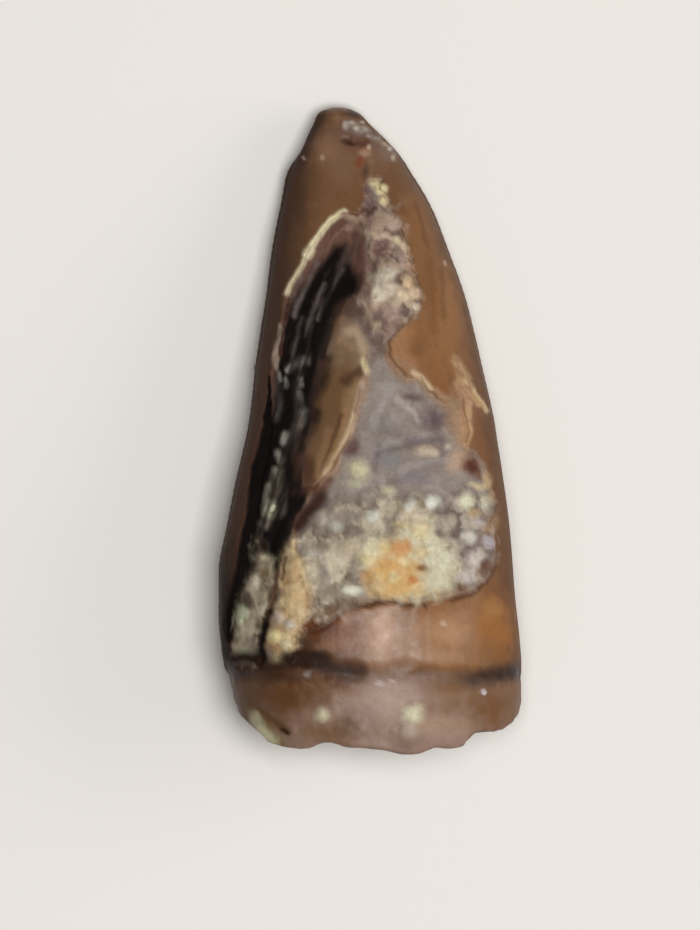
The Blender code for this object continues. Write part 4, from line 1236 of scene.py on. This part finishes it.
# bluntBall: the points of a unit sphere of rows and columns, squared off by raising each coordinate to
# a power below 1, with a pole at each end
def bluntBall(g):
    polar = np.linspace(0.0, np.pi, g["rows"] + 2)[1:-1, None]
    around = np.linspace(0.0, 2.0 * np.pi, g["columns"], endpoint=False)[None, :]
    rise = np.cos(polar) + 0.0 * around
    ball = np.stack([np.sin(polar) * np.cos(around), np.sin(polar) * np.sin(around), rise], axis=-1)
    ball = np.concatenate([ball.reshape(-1, 3), [[0.0, 0.0, 1.0], [0.0, 0.0, -1.0]]])
    return np.sign(ball) * np.abs(ball) ** g["bluntness"]


# ballFaces: the quads between a ball's rows and the triangles at its two poles
def ballFaces(rows, columns):
    corners = np.arange(rows * columns).reshape(rows, columns)
    following = np.roll(corners, -1, axis=1)
    quads = np.stack([corners[:-1], corners[1:], following[1:], following[:-1]], axis=-1)
    capTop = np.stack([np.full(columns, rows * columns), corners[0], following[0]], axis=-1)
    capLow = np.stack([corners[-1], np.full(columns, rows * columns + 1), following[-1]], axis=-1)
    return quads.reshape(-1, 4), np.concatenate([capTop, capLow])


# sandGrains: each grain is a blunt ball, stretched and roughened at random, turned at random and set
# with its middle a little below the skin
def sandGrains(g):
    rng = np.random.default_rng(g["seed"])
    below = (normals[:, 2] < -0.35) * (points[:, 2] > g["clearance"]) * skin["wall"]
    weights = skin["sand"] * below + skin["sand"] * ring * (ring < g["hollow"])
    chosen = rng.choice(len(bare), g["count"], replace=False, p=weights / weights.sum())
    onTop = 9.0 * (normals[:, 2] < 0.2)
    placed = [np.argmin(np.hypot(bare[:, 0] - u, bare[:, 1] - v) + onTop) for _, u, v, _ in g["placed"]]
    where = np.concatenate([chosen, placed])
    size = np.concatenate([rng.uniform(*g["size"], g["count"]), [radius for *_, radius in g["placed"]]])
    pale = rng.uniform(0.0, g["palest"], g["count"])[:, None] ** 2.0
    colour = skin["colour"][chosen] * rng.uniform(*g["shades"], (g["count"], 1))
    colour = colour + (tint(g["pale"]) - colour) * pale
    colour = np.concatenate([colour, [tint(code) for code, *_ in g["placed"]]])

    ball = bluntBall(g)
    total = len(where)
    stretch = rng.uniform(*g["stretch"], (total, 1, 3))
    lumps = 1.0 + rng.uniform(-g["lumpiness"], g["lumpiness"], (total, len(ball), 1))
    frames, _ = np.linalg.qr(rng.normal(size=(total, 3, 3)))
    frames *= np.sign(np.linalg.det(frames))[:, None, None]
    shapes = (ball[None] * stretch * lumps * size[:, None, None]) @ frames
    seats = points[where] - normals[where] * (g["sunk"] * size)[:, None]
    verts = np.clip((shapes + seats[:, None]).reshape(-1, 3), boxLow, boxHigh)

    quads, caps = ballFaces(g["rows"], g["columns"])
    starts = (np.arange(total) * len(ball))[:, None, None]
    faces = (quads[None] + starts).reshape(-1, 4).tolist()
    faces += (caps[None] + starts).reshape(-1, 3).tolist()
    mesh = bpy.data.meshes.new("sandGrains")
    mesh.from_pydata((verts * mm).tolist(), [], faces)
    mesh.update()
    giveColour(mesh, "paint", np.repeat(colour, len(ball), axis=0))
    giveValues(mesh, "rough", np.repeat(rng.uniform(*g["rough"], total), len(ball)))
    giveValues(mesh, "grit", np.full(len(verts), g["grit"]))
    return mesh


grainMesh = sandGrains(grains)
addPiece("sandGrains", grainMesh, fossil)
print("sand grains:", len(grainMesh.polygons), "faces")


# The stage: a plain pale floor, a soft box just right of overhead, a weaker one low on the right and a
# dim room. A light has its name, place, width and depth, power and colour.
studio = {
    "floorSize": 0.9,
    "floor": (0.82, 0.81, 0.795),
    "floorRough": 0.9,
    "room": (0.14, 0.128, 0.115),
    "lights": [
        ("overheadBox", (0.05, -0.02, 0.52), (0.13, 0.2), 2.15, (1.0, 0.98, 0.95)),
        ("sideBox", (0.5, 0.06, 0.3), (0.3, 0.3), 0.75, (1.0, 0.96, 0.91)),
    ],
}


# setStage: floor, lights aimed at the frame's origin, and the room's light
def setStage(s):
    half = s["floorSize"] / 2.0
    mesh = bpy.data.meshes.new("floor")
    corners = [(-half, -half, 0.0), (half, -half, 0.0), (half, half, 0.0), (-half, half, 0.0)]
    mesh.from_pydata(corners, [], [(0, 1, 2, 3)])
    material = bpy.data.materials.new("floorPaper")
    material.use_nodes = True
    shader = material.node_tree.nodes["Principled BSDF"]
    shader.inputs["Base Color"].default_value = (*s["floor"], 1.0)
    shader.inputs["Roughness"].default_value = s["floorRough"]
    mesh.materials.append(material)
    floor = bpy.data.objects.new("floor", mesh)
    bpy.context.scene.collection.objects.link(floor)
    for name, spot, size, power, colour in s["lights"]:
        light = bpy.data.lights.new(name, "AREA")
        light.shape = "RECTANGLE"
        light.size, light.size_y = size
        light.energy = power
        light.color = colour
        lamp = bpy.data.objects.new(name, light)
        lamp.location = spot
        lamp.rotation_euler = (-Vector(spot)).to_track_quat("-Z", "Y").to_euler()
        bpy.context.scene.collection.objects.link(lamp)
    world = bpy.data.worlds.new("softRoom")
    world.use_nodes = True
    world.node_tree.nodes["Background"].inputs["Color"].default_value = (*s["room"], 1.0)
    bpy.context.scene.world = world
    bpy.context.scene.view_settings.view_transform = "Standard"


# The view looks straight down: the frame's middle in the plan, its height, and a long lens.
view = {
    "middle": (-1.23, 16.11),
    "frameHeight": 51.58,
    "distance": 1200.0,
    "level": 5.5,
    "sensor": 36.0,
    "nearest": 0.01,
}


# setCamera: lens = sensor height times distance over frame height, so the frame spans frameHeight
def setCamera(v):
    camera = bpy.data.cameras.new("camera")
    camera.sensor_fit = "VERTICAL"
    camera.sensor_height = v["sensor"]
    camera.lens = v["sensor"] * v["distance"] / v["frameHeight"]
    camera.clip_start = v["nearest"]
    eye = bpy.data.objects.new("camera", camera)
    across, up = v["middle"]
    eye.location = Vector((across + shift[0], up + shift[1], v["distance"] + v["level"])) * mm
    bpy.context.scene.collection.objects.link(eye)
    bpy.context.scene.camera = eye


setStage(studio)
setCamera(view)
print("stage set")
